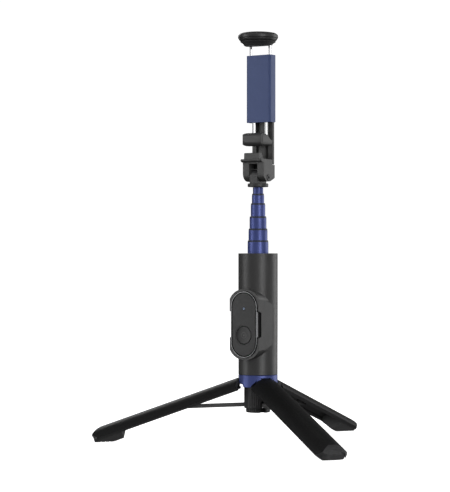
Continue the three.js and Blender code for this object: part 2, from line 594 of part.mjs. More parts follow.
// The strut lies where it is with the leg open: a flat bar with an eye outside and a trunnion inside.
function strut() {
  const [outer, inner] = [STRUT_OUTER, STRUT_INNER];
  const length = outer.distanceTo(inner);
  const half = STRUT_WIDTH / 2;
  const bar = new THREE.BoxGeometry(length, STRUT_WIDTH, STRUT_WIDTH);
  bar.rotateY(-Math.atan2(outer.y - inner.y, outer.x - inner.x));
  bar.translate((outer.x + inner.x) / 2, 0, (outer.y + inner.y) / 2);
  const eye = rodY(STRUT_EYE_RADIUS, -half, half, outer.x, outer.y);
  const end = rodY(half, -half, half, inner.x, inner.y);
  const trunnion = rodY(TRUNNION_RADIUS, -TRUNNION_HALF, TRUNNION_HALF, inner.x, inner.y, 16);
  return cut(union(solid(bar), eye, end, trunnion), rodY(STRUT_PIN_RADIUS + RUN, -6, 6, outer.x, outer.y));
}

function addLegs(group) {
  const shell = legShell();
  const foot = legFoot();
  const pin = strutPin();
  const bar = strut();
  const hingePin = legWise(HINGE_PIN_RADIUS, LUG_HALF);
  for (const [name, azimuth] of Object.entries(LEG_AZIMUTHS)) {
    const side = new THREE.Group();
    side.rotation.z = THREE.MathUtils.degToRad(azimuth);
    group.add(side);
    piece(side, `leg_hinge_pin_${name}`, hingePin, STEEL);
    piece(side, `leg_strut_${name}`, bar, DARK_GREY);
    const hinge = new THREE.Group();
    hinge.position.set(HINGE_RADIUS, 0, HINGE_HEIGHT);
    hinge.rotation.y = -LEG_FOLD;
    side.add(hinge);
    for (const [part, body, material] of [
      ["leg_shell", shell, BLACK_PLASTIC],
      ["leg_foot", foot, RUBBER],
      ["strut_pin", pin, STEEL],
    ]) {
      const mesh = piece(hinge, `${part}_${name}`, body, material);
      mesh.position.set(-HINGE_RADIUS, 0, -HINGE_HEIGHT);
    }
  }
}

// ---------------------------------------------------------------------------------- pole
function sectionBore(i) {
  return i + 1 < SECTION_DIAMETERS.length ? SECTION_DIAMETERS[i + 1] / 2 + SECTION_GAP : INNER_SECTION_BORE / 2;
}

function addPole(group) {
  SECTION_DIAMETERS.forEach((diameter, i) => {
    const bottom = SECTION_TOPS[i] - SECTION_LENGTH;
    const bore = sectionBore(i);
    const tubeBottom = bottom + (i ? BUSH_HEIGHT + GAP : 0);
    piece(group, `pole_section_${i + 1}`, tube(bore, diameter / 2, tubeBottom, SECTION_TOPS[i], POLE_ROUND), BLUE_METAL);
    if (i) {
      const bushRadius = sectionBore(i - 1) - GUIDE_CLEARANCE;
      piece(group, `pole_bush_${i + 1}`, tube(bore, bushRadius, bottom, bottom + BUSH_HEIGHT, POLE_ROUND), BLACK_PLASTIC);
    }
  });
  const bore = SECTION_DIAMETERS[0] / 2 + GUIDE_CLEARANCE;
  const outer = GRIP_RADIUS - CASING_WALL - GAP;
  const ceiling = CASING_TOP - CASING_TOP_WALL - GAP;
  piece(group, "pole_guide_upper", tube(bore, outer, ceiling - GUIDE_HEIGHT, ceiling, POLE_ROUND), BLACK_PLASTIC);
  piece(group, "pole_guide_lower", tube(bore, outer, GUIDE_BASE, GUIDE_BASE + 6, POLE_ROUND), BLACK_PLASTIC);
}

// ---------------------------------------------------------------------------------- remote
function addRemote(group) {
  const halfLength = REMOTE_LENGTH / 2;
  const remoteShape = (inset) => stadium(REMOTE_HALF_WIDTH - inset, halfLength - inset, REMOTE_CENTRE);
  const seam = REMOTE_FRONT + 2.4;
  const outer = prismY(remoteShape(0), seam, REMOTE_BACK);
  const inside = prismY(remoteShape(REMOTE_WALL), seam - 1, REMOTE_BACK - REMOTE_WALL);
  piece(group, "remote_back_shell", cut(outer, inside), BLACK_PLASTIC);

  const bezelOuter = prismY(remoteShape(0), REMOTE_FRONT, seam - GAP);
  const bezelInner = prismY(remoteShape(BEZEL_WIDTH), REMOTE_FRONT - 1, seam + 1);
  piece(group, "remote_bezel", cut(bezelOuter, bezelInner), CHROME);

  const buttonZ = REMOTE_CENTRE - BUTTON_BELOW;
  const ledZ = REMOTE_CENTRE + LED_ABOVE;
  const face = prismY(remoteShape(BEZEL_WIDTH + 0.2), REMOTE_FRONT, REMOTE_FRONT + FACE_THICK);
  const buttonHole = rodY(BUTTON_RADIUS + 0.25, REMOTE_FRONT - 1, REMOTE_FRONT + 3, 0, buttonZ, 40);
  const ledHole = rodY(LED_RADIUS + RUN, REMOTE_FRONT - 1, REMOTE_FRONT + 3, 0, ledZ, 20);
  piece(group, "remote_face", cut(face, buttonHole, ledHole), DARK_GREY);

  const battery = REMOTE_BACK - REMOTE_WALL - GAP - BATTERY_THICK;
  piece(group, "remote_battery", rodY(BATTERY_RADIUS, battery, battery + BATTERY_THICK, 0, REMOTE_CENTRE, 32), STEEL);
  const boardBack = battery - GAP;
  const board = prismY(remoteShape(REMOTE_WALL + GAP), boardBack - 0.6, boardBack);
  piece(group, "remote_board", board, BOARD);
  const boardFront = boardBack - 0.6;
  piece(group, "remote_led", rodY(LED_RADIUS, REMOTE_FRONT, boardFront - GAP, 0, ledZ, 16), LENS);
  const cap = rodY(BUTTON_RADIUS, REMOTE_FRONT, REMOTE_FRONT + FACE_THICK + 0.2, 0, buttonZ, 40);
  const stem = rodY(1.6, REMOTE_FRONT + FACE_THICK, boardFront - BUTTON_TRAVEL - 0.2, 0, buttonZ, 20);
  piece(group, "remote_button", union(cap, stem), BLACK_PLASTIC);
}

// ---------------------------------------------------------------------------------- clamp
function poleHead() {
  const disc = tube(0.01, FLANGE_RADIUS, FLANGE_BOTTOM, FLANGE_TOP, 40);
  const spigot = rodZ(INNER_SECTION_BORE / 2 - GAP, FLANGE_BOTTOM - 8, FLANGE_BOTTOM + 1);
  const shape = new THREE.Shape();
  shape.moveTo(-HEAD_RADIUS, FLANGE_TOP - 0.5);
  shape.lineTo(HEAD_RADIUS, FLANGE_TOP - 0.5);
  shape.absarc(0, TILT_AXIS, HEAD_RADIUS, 0, Math.PI);
  const knuckle = prismX(shape, -HEAD_HALF, HEAD_HALF, 20);
  const hole = rodX(TILT_SCREW_RADIUS + RUN, -20, 20, 0, TILT_AXIS);
  return cut(union(disc, rodZ(1, FLANGE_BOTTOM, FLANGE_TOP), spigot, knuckle), hole);
}

// Side outline: round towards the front below, and cut off at the back where it meets the flange when tilted.
function yoke() {
  const round = YOKE_BOTTOM_DROP + 3.5;
  const centre = TILT_AXIS + 3.5;
  const shape = new THREE.Shape();
  shape.moveTo(YOKE_BACK, TILT_AXIS - 0.2);
  shape.lineTo(YOKE_BACK, YOKE_TOP);
  shape.lineTo(YOKE_FRONT - 0.1, YOKE_TOP);
  shape.lineTo(-round, centre);
  shape.absarc(0, centre, round, Math.PI, 1.5 * Math.PI);
  shape.lineTo(2.3, YOKE_BOTTOM);
  shape.closePath();
  const block = prismX(shape, -YOKE_HALF, YOKE_HALF, 12);
  const slotHalf = HEAD_HALF + GAP;
  const slotTop = TILT_AXIS + HEAD_RADIUS + 0.5;
  const through = box(-slotHalf, slotHalf, -20, 20, YOKE_BOTTOM - 5, slotTop);
  const front = box(-slotHalf, slotHalf, -20, 2, YOKE_BOTTOM - 5, YOKE_TOP - 2.4);
  const ridge = outline([
    [YOKE_FRONT + 3, YOKE_TOP - 2], [STOP_FRONT + 1.4, YOKE_TOP - 2], [STOP_FRONT - 0.6, YOKE_TOP - 0.9],
    [STOP_FRONT + 0.8, YOKE_TOP + 0.3], [YOKE_FRONT + 3, YOKE_TOP + 0.3],
  ]);
  const stop = outline([
    [STOP_FRONT + 0.8, YOKE_TOP - 0.4], [-1.6, YOKE_TOP - 0.4], [-5.4, YOKE_TOP + STOP_RISE],
    [STOP_FRONT + 1, YOKE_TOP + STOP_RISE],
  ]);
  const ledge = union(prismX(ridge, -YOKE_HALF, YOKE_HALF), prismX(stop, -STOP_HALF, STOP_HALF));
  const plateSeat = box(-PLATE_HALF - GAP, PLATE_HALF + GAP, PLATE_FRONT - GAP, 20, YOKE_TOP - 4, YOKE_TOP + 9);
  const hole = rodX(TILT_SCREW_RADIUS + RUN, -20, 20, 0, TILT_AXIS);
  const sinkRight = rodX(TILT_HEAD_RADIUS + RUN, YOKE_HALF - 1, 20, 0, TILT_AXIS);
  const sinkLeft = rodX(TILT_HEAD_RADIUS + 0.5, -20, -YOKE_HALF + 1.6, 0, TILT_AXIS);
  return cut(union(block, ledge), through, front, plateSeat, hole, sinkRight, sinkLeft);
}

function backplate() {
  const slab = box(-PLATE_HALF, PLATE_HALF, PLATE_FRONT, PLATE_BACK, YOKE_TOP - 4 + GAP, COVER_TOP - 2);
  const grooves = [-1, 1].map((side) => {
    const [x0, x1] = [side * GROOVE_OFFSET - GROOVE_WIDTH / 2, side * GROOVE_OFFSET + GROOVE_WIDTH / 2];
    return box(x0, x1, PLATE_FRONT - 1, PLATE_FRONT + GROOVE_DEPTH, YOKE_TOP + 1, COVER_TOP - 3);
  });
  return cut(slab, ...grooves);
}

function cover() {
  const plan = roundedRectangle(-COVER_HALF, COVER_HALF, 0, COVER_DEPTH + 3, 1.4);
  const body = prismZ(plan, COVER_BOTTOM, COVER_TOP, 4).intersect(box(-20, 20, -1, COVER_DEPTH, 0, 400));
  const half = COVER_HALF - COVER_WALL;
  const inside = box(-half, half, COVER_FRONT_WALL, 20, COVER_BOTTOM + 1.2, COVER_TOP - 1.2);
  const lower = [-1, 1].map((s) => rodZ(INNER_ROD_RADIUS + GAP, COVER_BOTTOM - 1, COVER_BOTTOM + 2, s * INNER_ROD_X, ROD_Y));
  const upper = [-1, 1].map((s) => rodZ(OUTER_ROD_RADIUS + GAP, COVER_TOP - 2, COVER_TOP + 1, s * OUTER_ROD_X, ROD_Y));
  const plateMouth = box(-PLATE_HALF - GAP, PLATE_HALF + GAP, PLATE_FRONT - GAP, 20, COVER_BOTTOM - 1, COVER_BOTTOM + 2);
  return cut(body, inside, ...lower, ...upper, plateMouth);
}

function addUpperJaw(group) {
  const top = UPPER_CAP_BOTTOM + CAP_DISC_HEIGHT;
  const rim = CAP_DISC_RADIUS;
  const disc = turned([
    [0, UPPER_CAP_BOTTOM], [rim - 1.6, UPPER_CAP_BOTTOM], [rim - 0.4, UPPER_CAP_BOTTOM + 1.2],
    [rim, UPPER_CAP_BOTTOM + 3.2], [rim - 0.4, top - 2], [rim - 1.6, top - 0.7], [rim - 5, top], [0, top],
  ]);
  const tier = turned([
    [0, UPPER_PAD_BOTTOM], [PAD_TIER_RADIUS, UPPER_PAD_BOTTOM],
    [rim - 2.6, UPPER_PAD_BOTTOM + PAD_TIER_HEIGHT - 1], [rim - 2, UPPER_PAD_BOTTOM + PAD_TIER_HEIGHT],
    [0, UPPER_PAD_BOTTOM + PAD_TIER_HEIGHT],
  ]);
  const rodTop = UPPER_CAP_BOTTOM + 3.6;
  const holes = [-1, 1].map((s) =>
    rodZ(OUTER_ROD_RADIUS + RUN, UPPER_PAD_BOTTOM - 1, rodTop + GAP, s * OUTER_ROD_X, ROD_Y));
  piece(group, "upper_jaw_cap", cut(disc, ...holes), BLACK_PLASTIC);
  piece(group, "upper_jaw_pad", cut(tier, ...holes), RUBBER);
  const bridgeBottom = COVER_BOTTOM + UPPER_BRIDGE_ABOVE_COVER;
  const bridgeTop = bridgeBottom + BRIDGE_HEIGHT;
  const reach = COVER_HALF - COVER_WALL - GAP;
  const bar = box(-reach, reach, ROD_Y - BRIDGE_FRONT, ROD_Y + BRIDGE_BACK, bridgeBottom, bridgeTop);
  const passes = [-1, 1].map((s) =>
    rodZ(INNER_ROD_RADIUS + GAP, bridgeBottom - 1, bridgeTop + 1, s * INNER_ROD_X, ROD_Y));
  const open = [-1, 1].map((s) =>
    box(s * INNER_ROD_X - INNER_ROD_RADIUS - GAP, s * INNER_ROD_X + INNER_ROD_RADIUS + GAP, ROD_Y, ROD_Y + 3, bridgeBottom - 1, bridgeTop + 1));
  piece(group, "upper_bridge", cut(bar, ...passes, ...open), BLACK_PLASTIC);
  for (const [side, s] of [["left", -1], ["right", 1]]) {
    piece(group, `upper_rod_${side}`, rodZ(OUTER_ROD_RADIUS, bridgeTop + RUN, rodTop, s * OUTER_ROD_X, ROD_Y, 20), CHROME);
  }
}

function addLowerJaw(group) {
  const lipBottom = LIP_TOP - LIP_HEIGHT;
  const armBottom = lipBottom + 0.7;
  const armTop = armBottom + ARM_HEIGHT;
  const back = ROD_Y + BRIDGE_BACK;
  const profile = outline([
    [LOWER_JAW_FRONT, lipBottom + 2.6], [LOWER_JAW_FRONT + 2.2, lipBottom], [-1, lipBottom],
    [1.4, armBottom], [back, armBottom], [back, armTop], [1.8, armTop + 0.4],
    [-1.2, LIP_TOP - 1], [-2.6, LIP_TOP], [LOWER_JAW_FRONT + 2.4, LIP_TOP], [LOWER_JAW_FRONT, LIP_TOP - 2.6],
  ]);
  const body = prismX(profile, -LOWER_JAW_HALF, LOWER_JAW_HALF);
  const plan = roundedRectangle(-LOWER_JAW_HALF, LOWER_JAW_HALF, LOWER_JAW_FRONT, back + 6, 5);
  const trimmed = body.intersect(prismZ(plan, lipBottom - 1, LIP_TOP + 1, 6));
  const rodBottom = armBottom + 1;
  const holes = [-1, 1].map((s) => rodZ(INNER_ROD_RADIUS + RUN, rodBottom - GAP, LIP_TOP + 1, s * INNER_ROD_X, ROD_Y));
  const padHalf = LOWER_JAW_HALF - LOWER_PAD_INSET;
  const seatHalf = padHalf + RUN;
  const padPlan = roundedRectangle(-padHalf, padHalf, LOWER_JAW_FRONT + 2.6, -2.8, 1.6);
  const padSeatPlan = roundedRectangle(-seatHalf, seatHalf, LOWER_JAW_FRONT + 2.4, -2.6, 1.8);
  const seat = prismZ(padSeatPlan, LIP_TOP - PAD_THICK - GAP, LIP_TOP + 1, 4);
  piece(group, "lower_jaw", cut(trimmed, ...holes, seat), BLACK_PLASTIC);
  piece(group, "lower_jaw_pad", prismZ(padPlan, LIP_TOP - PAD_THICK, LIP_TOP, 4), RUBBER);
  const bridgeTop = COVER_TOP - LOWER_BRIDGE_BELOW_COVER;
  const bridgeBottom = bridgeTop - BRIDGE_HEIGHT;
  const half = INNER_ROD_X + INNER_ROD_RADIUS + 0.3;
  piece(group, "lower_bridge", box(-half, half, ROD_Y - BRIDGE_FRONT, ROD_Y + BRIDGE_BACK, bridgeBottom, bridgeTop), BLACK_PLASTIC);
  for (const [side, s] of [["left", -1], ["right", 1]]) {
    piece(group, `lower_rod_${side}`, rodZ(INNER_ROD_RADIUS, rodBottom, bridgeBottom - RUN, s * INNER_ROD_X, ROD_Y, 20), CHROME);
  }
}

// Compression spring between the two bridges: it pushes both jaws towards each other.
function clampSpring() {
  const bottom = COVER_BOTTOM + UPPER_BRIDGE_ABOVE_COVER + BRIDGE_HEIGHT + 2 * GAP;
  const top = COVER_TOP - LOWER_BRIDGE_BELOW_COVER - BRIDGE_HEIGHT - 2 * GAP;
  const radius = 1.3;
  const points = [];
  const perTurn = 8;
  for (let i = 0; i <= SPRING_TURNS * perTurn; i++) {
    const turn = (i / perTurn) * 2 * Math.PI;
    const z = bottom + ((top - bottom) * i) / (SPRING_TURNS * perTurn);
    points.push(new THREE.Vector3(radius * Math.cos(turn), ROD_Y + radius * Math.sin(turn), z));
  }
  const path = new THREE.CatmullRomCurve3(points);
  const wire = new THREE.Shape().absarc(0, 0, SPRING_WIRE, 0, 2 * Math.PI);
  const geometry = new THREE.ExtrudeGeometry(wire, { steps: points.length - 1, extrudePath: path, curveSegments: 3 });
  return solid(geometry);
}

function addClamp(group) {
  piece(group, "pole_head", poleHead(), DARK_GREY);
  piece(group, "clamp_yoke", yoke(), CHARCOAL);
  const screwHead = rodX(TILT_HEAD_RADIUS, YOKE_HALF - 1 + RUN, YOKE_HALF + 0.3, 0, TILT_AXIS);
  const shank = rodX(TILT_SCREW_RADIUS, -YOKE_HALF + 1.8, YOKE_HALF - 0.5, 0, TILT_AXIS);
  piece(group, "tilt_screw", union(screwHead, shank), STEEL);
  piece(group, "tilt_nut", rodX(TILT_HEAD_RADIUS + 0.2, -YOKE_HALF, -YOKE_HALF + 1.5, 0, TILT_AXIS, 6), STEEL);
  piece(group, "clamp_backplate", backplate(), CHARCOAL);
  piece(group, "clamp_cover", cover(), BLUE_COVER);
  addUpperJaw(group);
  addLowerJaw(group);
  piece(group, "clamp_spring", clampSpring(), STEEL);
}

// ---------------------------------------------------------------------------------- the whole object
const stick = new THREE.Group();
piece(stick, "grip_casing", casing(), CHARCOAL);
piece(stick, "leg_hub", hub(), BLUE_METAL);
piece(stick, "strut_column", column(), DARK_GREY);
piece(stick, "column_base_cap", baseCap(), DARK_GREY);
piece(stick, "base_screw", baseScrew(), STEEL);
piece(stick, "strut_runner", runner(), BLACK_PLASTIC);
addLegs(stick);
addPole(stick);
addRemote(stick);
addClamp(stick);

// the origin is the centre of the footprint's box, on the floor
stick.updateMatrixWorld(true);
const extent = new THREE.Box3().setFromObject(stick, true);
const footprint = extent.getCenter(new THREE.Vector3());
stick.position.set(-footprint.x, -footprint.y, -extent.min.z);

const frame = new THREE.Group();
frame.add(stick);
export default frame;
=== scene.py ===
"""Looks of a pocket selfie stick that stands on its own fold-out tripod.

Every shape is made in millimetres about the pole's axis, with the remote and the clamp facing -Y, and is
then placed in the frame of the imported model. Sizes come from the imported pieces' boxes where they can.
"""

from __future__ import annotations

import json
import logging
import math
from dataclasses import dataclass
from enum import Enum
from typing import Callable, ClassVar, Iterable, Sequence

import bmesh
import bpy
from mathutils import Matrix, Vector
from mathutils.geometry import area_tri

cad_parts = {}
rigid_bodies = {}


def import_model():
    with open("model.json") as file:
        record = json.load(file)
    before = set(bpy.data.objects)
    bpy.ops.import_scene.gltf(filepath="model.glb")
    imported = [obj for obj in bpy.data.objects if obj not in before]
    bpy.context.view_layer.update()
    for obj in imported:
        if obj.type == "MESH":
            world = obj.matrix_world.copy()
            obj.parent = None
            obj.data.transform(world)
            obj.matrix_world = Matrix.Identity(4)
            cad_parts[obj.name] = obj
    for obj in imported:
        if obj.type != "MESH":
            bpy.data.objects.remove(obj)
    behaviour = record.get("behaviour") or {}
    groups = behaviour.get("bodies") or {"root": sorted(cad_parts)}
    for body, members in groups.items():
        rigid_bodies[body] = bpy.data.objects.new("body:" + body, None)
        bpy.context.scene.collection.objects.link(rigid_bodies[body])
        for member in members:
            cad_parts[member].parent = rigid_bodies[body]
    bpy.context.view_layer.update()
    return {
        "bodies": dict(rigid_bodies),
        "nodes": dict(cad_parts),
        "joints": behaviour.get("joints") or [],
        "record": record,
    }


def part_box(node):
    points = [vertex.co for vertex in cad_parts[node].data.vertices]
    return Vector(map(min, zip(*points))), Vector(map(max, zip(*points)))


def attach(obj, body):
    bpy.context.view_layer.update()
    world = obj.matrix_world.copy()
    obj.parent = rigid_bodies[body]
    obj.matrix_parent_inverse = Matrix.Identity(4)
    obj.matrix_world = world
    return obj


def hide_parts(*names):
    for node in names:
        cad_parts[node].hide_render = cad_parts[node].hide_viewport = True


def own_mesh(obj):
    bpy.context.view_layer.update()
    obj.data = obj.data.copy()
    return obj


LOG = logging.getLogger("selfie_stick")

# Lengths are in millimetres, and areas in square millimetres.
MM = 0.001
GAP = 0.3  # clearance between two fixed neighbours
SMOOTH_ANGLE = math.radians(34)  # sharper edges than this stay sharp
FLAT_ANGLE = math.radians(0.4)  # faces that turn less than this are one face
SLIVER = 0.02  # edges shorter than this are closed before a rounding
WELD = 2e-4  # vertices nearer than this are one
ON_AXIS = 1e-6  # a profile's point nearer to the axis than this lies on it
FOLD = 0.6  # area of faces lying over themselves that a rounding may add
BOX_SLACK = 0.02  # growth of the box that a rounding may add
VOLUME_SLACK = 0.06  # share of the volume that a rounding may take
ROUNDING_TRIES = 5
ROUND_SIDES = 128
TUBE_SIDES = 96
PIN_SIDES = 40
CLEAR = 1  # how far a cutter stands past the surface that it cuts

# Places of the colour sockets of a mix node.
MIX_A, MIX_B, MIX_RESULT = 6, 7, 2

Colour = tuple[float, float, float]
Corner = tuple[float, float, float]


# ------------------------------------------------------------------------------------------- finishes
class Graph:
    """A material's node tree: one principled shader and the patterns that feed it."""

    NOISE_RANGE: ClassVar[tuple[float, float]] = (0.32, 0.68)
    EDGE_RANGE: ClassVar[tuple[float, float]] = (0.99, 0.86)
    BEVEL_SAMPLES: ClassVar[int] = 4

    def __init__(self, name: str) -> None:
        """Starts a material.

        Args:
            name: The material's name.
        """
        self.material = bpy.data.materials.new(name)
        self.material.use_nodes = True
        self.tree = self.material.node_tree
        self.tree.nodes.clear()
        self.shader = self.node("ShaderNodeBsdfPrincipled")
        output = self.node("ShaderNodeOutputMaterial")
        self.link(self.shader.outputs["BSDF"], output.inputs["Surface"])
        self.place = self.node("ShaderNodeTexCoord").outputs["Object"]

    def node(self, kind: str) -> bpy.types.Node:
        """Adds a node of one kind."""
        return self.tree.nodes.new(kind)

    def link(self, source: bpy.types.NodeSocket, target: bpy.types.NodeSocket) -> None:
        """Joins two sockets."""
        self.tree.links.new(source, target)

    def set(self, **values: float | Sequence[float]) -> None:
        """Sets the shader's own sockets.

        Args:
            values: A value for each socket, named with underscores for spaces.
        """
        for name, value in values.items():
            self.shader.inputs[name.replace("_", " ")].default_value = value

    def feed(self, name: str, source: bpy.types.NodeSocket) -> None:
        """Feeds one of the shader's sockets from a pattern."""
        self.link(source, self.shader.inputs[name])

    def stretched(self, size: float, stretch: Sequence[float]) -> bpy.types.NodeSocket:
        """Coordinates in which a feature of the given size is one unit across.

        Args:
            size: Size of a feature, in millimetres.
            stretch: How many times longer the feature is along x, y and z.

        Returns:
            The mapped coordinates.
        """
        mapping = self.node("ShaderNodeMapping")
        mapping.inputs["Scale"].default_value = [1 / (size * MM * s) for s in stretch]
        self.link(self.place, mapping.inputs["Vector"])
        return mapping.outputs["Vector"]

    def noise(
        self, size: float, stretch: Sequence[float] = (1, 1, 1), detail: float = 3
    ) -> bpy.types.NodeSocket:
        """Cloudy noise.

        Args:
            size: Size of a feature, in millimetres.
            stretch: How many times longer a feature is along x, y and z.
            detail: Number of finer layers.

        Returns:
            A value from 0 to 1.
        """
        noise = self.node("ShaderNodeTexNoise")
        noise.inputs["Scale"].default_value = 1
        noise.inputs["Detail"].default_value = detail
        self.link(self.stretched(size, stretch), noise.inputs["Vector"])
        return noise.outputs["Fac"]

    def cells(self, size: float) -> bpy.types.NodeSocket:
        """Rounded cells, as of a spark-eroded mould.

        Args:
            size: Size of a cell, in millimetres.

        Returns:
            The distance from the middle of a cell.
        """
        voronoi = self.node("ShaderNodeTexVoronoi")
        voronoi.inputs["Scale"].default_value = 1
        self.link(self.stretched(size, (1, 1, 1)), voronoi.inputs["Vector"])
        return voronoi.outputs["Distance"]

    def spread(self, source: bpy.types.NodeSocket, low: float, high: float) -> bpy.types.NodeSocket:
        """Maps the useful part of a noise to a range.

        Args:
            source: The noise.
            low: Result where the noise is low.
            high: Result where it is high.

        Returns:
            The mapped value.
        """
        return self.remapped(source, self.NOISE_RANGE, (low, high))

    def remapped(
        self, source: bpy.types.NodeSocket, given: tuple[float, float], wanted: tuple[float, float]
    ) -> bpy.types.NodeSocket:
        """Maps one range of values to another, and holds what lies outside it.

        Args:
            source: The value.
            given: The range that it has.
            wanted: The range that it gets.

        Returns:
            The mapped value.
        """
        remap = self.node("ShaderNodeMapRange")
        remap.inputs["From Min"].default_value, remap.inputs["From Max"].default_value = given
        remap.inputs["To Min"].default_value, remap.inputs["To Max"].default_value = wanted
        self.link(source, remap.inputs["Value"])
        return remap.outputs["Result"]

    def blend(self, factor: bpy.types.NodeSocket, dark: Colour, light: Colour) -> bpy.types.NodeSocket:
        """Mixes two colours by a pattern.

        Args:
            factor: 0 for the first colour and 1 for the second.
            dark: The first colour.
            light: The second colour.

        Returns:
            The mixed colour.
        """
        mix = self.mix(factor, light)
        mix.inputs[MIX_A].default_value = (*dark, 1)
        return mix.outputs[MIX_RESULT]

    def mix(self, factor: bpy.types.NodeSocket, light: Colour) -> bpy.types.Node:
        """A mix of two colours, of which the second is set."""
        mix = self.node("ShaderNodeMix")
        mix.data_type = "RGBA"
        self.link(factor, mix.inputs["Factor"])
        mix.inputs[MIX_B].default_value = (*light, 1)
        return mix

    def over(
        self, factor: bpy.types.NodeSocket, base: bpy.types.NodeSocket, light: Colour
    ) -> bpy.types.NodeSocket:
        """Lays a colour over another pattern's colour.

        Args:
            factor: How much of the colour shows.
            base: The colour beneath.
            light: The colour on top.

        Returns:
            The mixed colour.
        """
        mix = self.mix(factor, light)
        self.link(base, mix.inputs[MIX_A])
        return mix.outputs[MIX_RESULT]

    def edges(self, radius: float, strength: float) -> bpy.types.NodeSocket:
        """A mask of the piece's edges, where a highlight is painted.

        Args:
            radius: How far from an edge the mask reaches, in millimetres.
            strength: Greatest value of the mask.

        Returns:
            The mask.
        """
        # Painted highlight: the bevel node finds the edges, and the finishes paint them in a lighter colour.
        bevel = self.node("ShaderNodeBevel")
        bevel.samples = self.BEVEL_SAMPLES
        bevel.inputs["Radius"].default_value = radius * MM
        geometry = self.node("ShaderNodeNewGeometry")
        dot = self.node("ShaderNodeVectorMath")
        dot.operation = "DOT_PRODUCT"
        self.link(bevel.outputs["Normal"], dot.inputs[0])
        self.link(geometry.outputs["Normal"], dot.inputs[1])
        return self.remapped(dot.outputs["Value"], self.EDGE_RANGE, (0, strength))

    def bump(
        self, source: bpy.types.NodeSocket, depth: float, under: bpy.types.NodeSocket | None = None
    ) -> bpy.types.NodeSocket:
        """Turns a pattern into relief.

        Args:
            source: The pattern, from 0 to 1.
            depth: Height of the relief, in millimetres.
            under: Relief that this one lies on.

        Returns:
            The normal of the relief.
        """
        bump = self.node("ShaderNodeBump")
        bump.inputs["Strength"].default_value = 1
        bump.inputs["Distance"].default_value = depth * MM
        self.link(source, bump.inputs["Height"])
        if under is not None:
            self.link(under, bump.inputs["Normal"])
        return bump.outputs["Normal"]


def shade(colour: Colour, factor: float) -> Colour:
    """A darker or lighter tone of a colour."""
    return (colour[0] * factor, colour[1] * factor, colour[2] * factor)


@dataclass(frozen=True)
class Finish:
    """A surface finish, with the slot of the record that it belongs to."""

    name: str
    slot: str
    colour: Colour
    roughness: float

    def paint(self, graph: Graph) -> None:
        """Builds the finish's patterns; each kind of finish has its own."""
        raise NotImplementedError

    def material(self) -> bpy.types.Material:
        """The finish's material, made when it is first asked for."""
        known = bpy.data.materials.get(self.name)
        if known is not None:
            return known
        graph = Graph(self.name)
        self.paint(graph)
        return graph.material


@dataclass(frozen=True)
class MouldedPlastic(Finish):
    """Injection moulded plastic with a spark-eroded grain and a painted highlight along its edges."""

    grain: float = 0.35
    relief: float = 0.014
    # Strength of the painted highlight along the edges.
    edge_sheen: float = 0.35
    gloss: float = 0.5

    def paint(self, graph: Graph) -> None:
        """Grain, faint flow clouds, and a painted highlight that lightens the edges."""
        clouds = graph.noise(7, (1, 1, 2.5))
        base = graph.blend(graph.spread(clouds, 0, 1), shade(self.colour, 0.9), shade(self.colour, 1.1))
        # Painted highlight: the edges get a lighter colour, as if light caught them.
        edge = graph.edges(0.35, self.edge_sheen)
        graph.feed("Base Color", graph.over(edge, base, shade(self.colour, 2.2)))
        rough = graph.noise(1.6, detail=5)
        graph.feed("Roughness", graph.spread(rough, self.roughness - 0.06, self.roughness + 0.07))
        coarse = graph.bump(graph.cells(self.grain), self.relief)
        graph.feed("Normal", graph.bump(graph.noise(self.grain * 3, detail=4), self.relief * 1.6, coarse))
        graph.set(Specular_IOR_Level=self.gloss)


@dataclass(frozen=True)
class AnodisedMetal(Finish):
    """Dyed anodised aluminium, drawn lengthwise, with a painted highlight along its edges."""

    metallic: float = 0.4
    drawn: Colour = (1, 1, 45)

    def paint(self, graph: Graph) -> None:
        """Draw lines along the tube, uneven dye and a painted highlight along the edges."""
        lines = graph.noise(0.22, self.drawn, detail=4)
        dye = graph.noise(9, (1, 1, 2))
        base = graph.blend(graph.spread(dye, 0, 1), shade(self.colour, 0.88), shade(self.colour, 1.1))
        # Painted highlight: the edges get a lighter colour, as if light caught them.
        edge = graph.edges(0.22, 0.45)
        graph.feed("Base Color", graph.over(edge, base, shade(self.colour, 2.4)))
        graph.feed("Roughness", graph.spread(lines, self.roughness - 0.07, self.roughness + 0.09))
        graph.feed("Normal", graph.bump(lines, 0.006))
        graph.set(Metallic=self.metallic, Specular_IOR_Level=0.5)


@dataclass(frozen=True)
class SatinPaint(Finish):
    """Satin paint on pressed sheet, with a faint orange-peel surface."""

    def paint(self, graph: Graph) -> None:
        """Orange peel, fine flake and a painted highlight along the edges."""
        flake = graph.noise(0.3, detail=2)
        base = graph.blend(graph.spread(flake, 0, 1), shade(self.colour, 0.92), shade(self.colour, 1.09))
        # Painted highlight: the edges get a lighter colour, as if light caught them.
        edge = graph.edges(0.3, 0.3)
        graph.feed("Base Color", graph.over(edge, base, shade(self.colour, 1.7)))
        peel = graph.noise(1.1, detail=3)
        graph.feed("Roughness", graph.spread(peel, self.roughness - 0.05, self.roughness + 0.06))
        graph.feed("Normal", graph.bump(peel, 0.012))
        graph.set(Metallic=0.35, Specular_IOR_Level=0.5, Coat_Weight=0.15, Coat_Roughness=0.3)


@dataclass(frozen=True)
class TurnedMetal(Finish):
    """Bare or plated metal with fine polishing marks."""

    marks: float = 0.12
    relief: float = 0.002

    def paint(self, graph: Graph) -> None:
        """Polishing marks and a little handling haze."""
        marks = graph.noise(self.marks, (14, 14, 1), detail=3)
        haze = graph.noise(3, detail=4)
        base = graph.blend(graph.spread(haze, 0, 1), shade(self.colour, 0.93), self.colour)
        graph.feed("Base Color", base)
        graph.feed("Roughness", graph.spread(haze, self.roughness, self.roughness + 0.07))
        graph.feed("Normal", graph.bump(marks, self.relief))
        graph.set(Metallic=1.0)


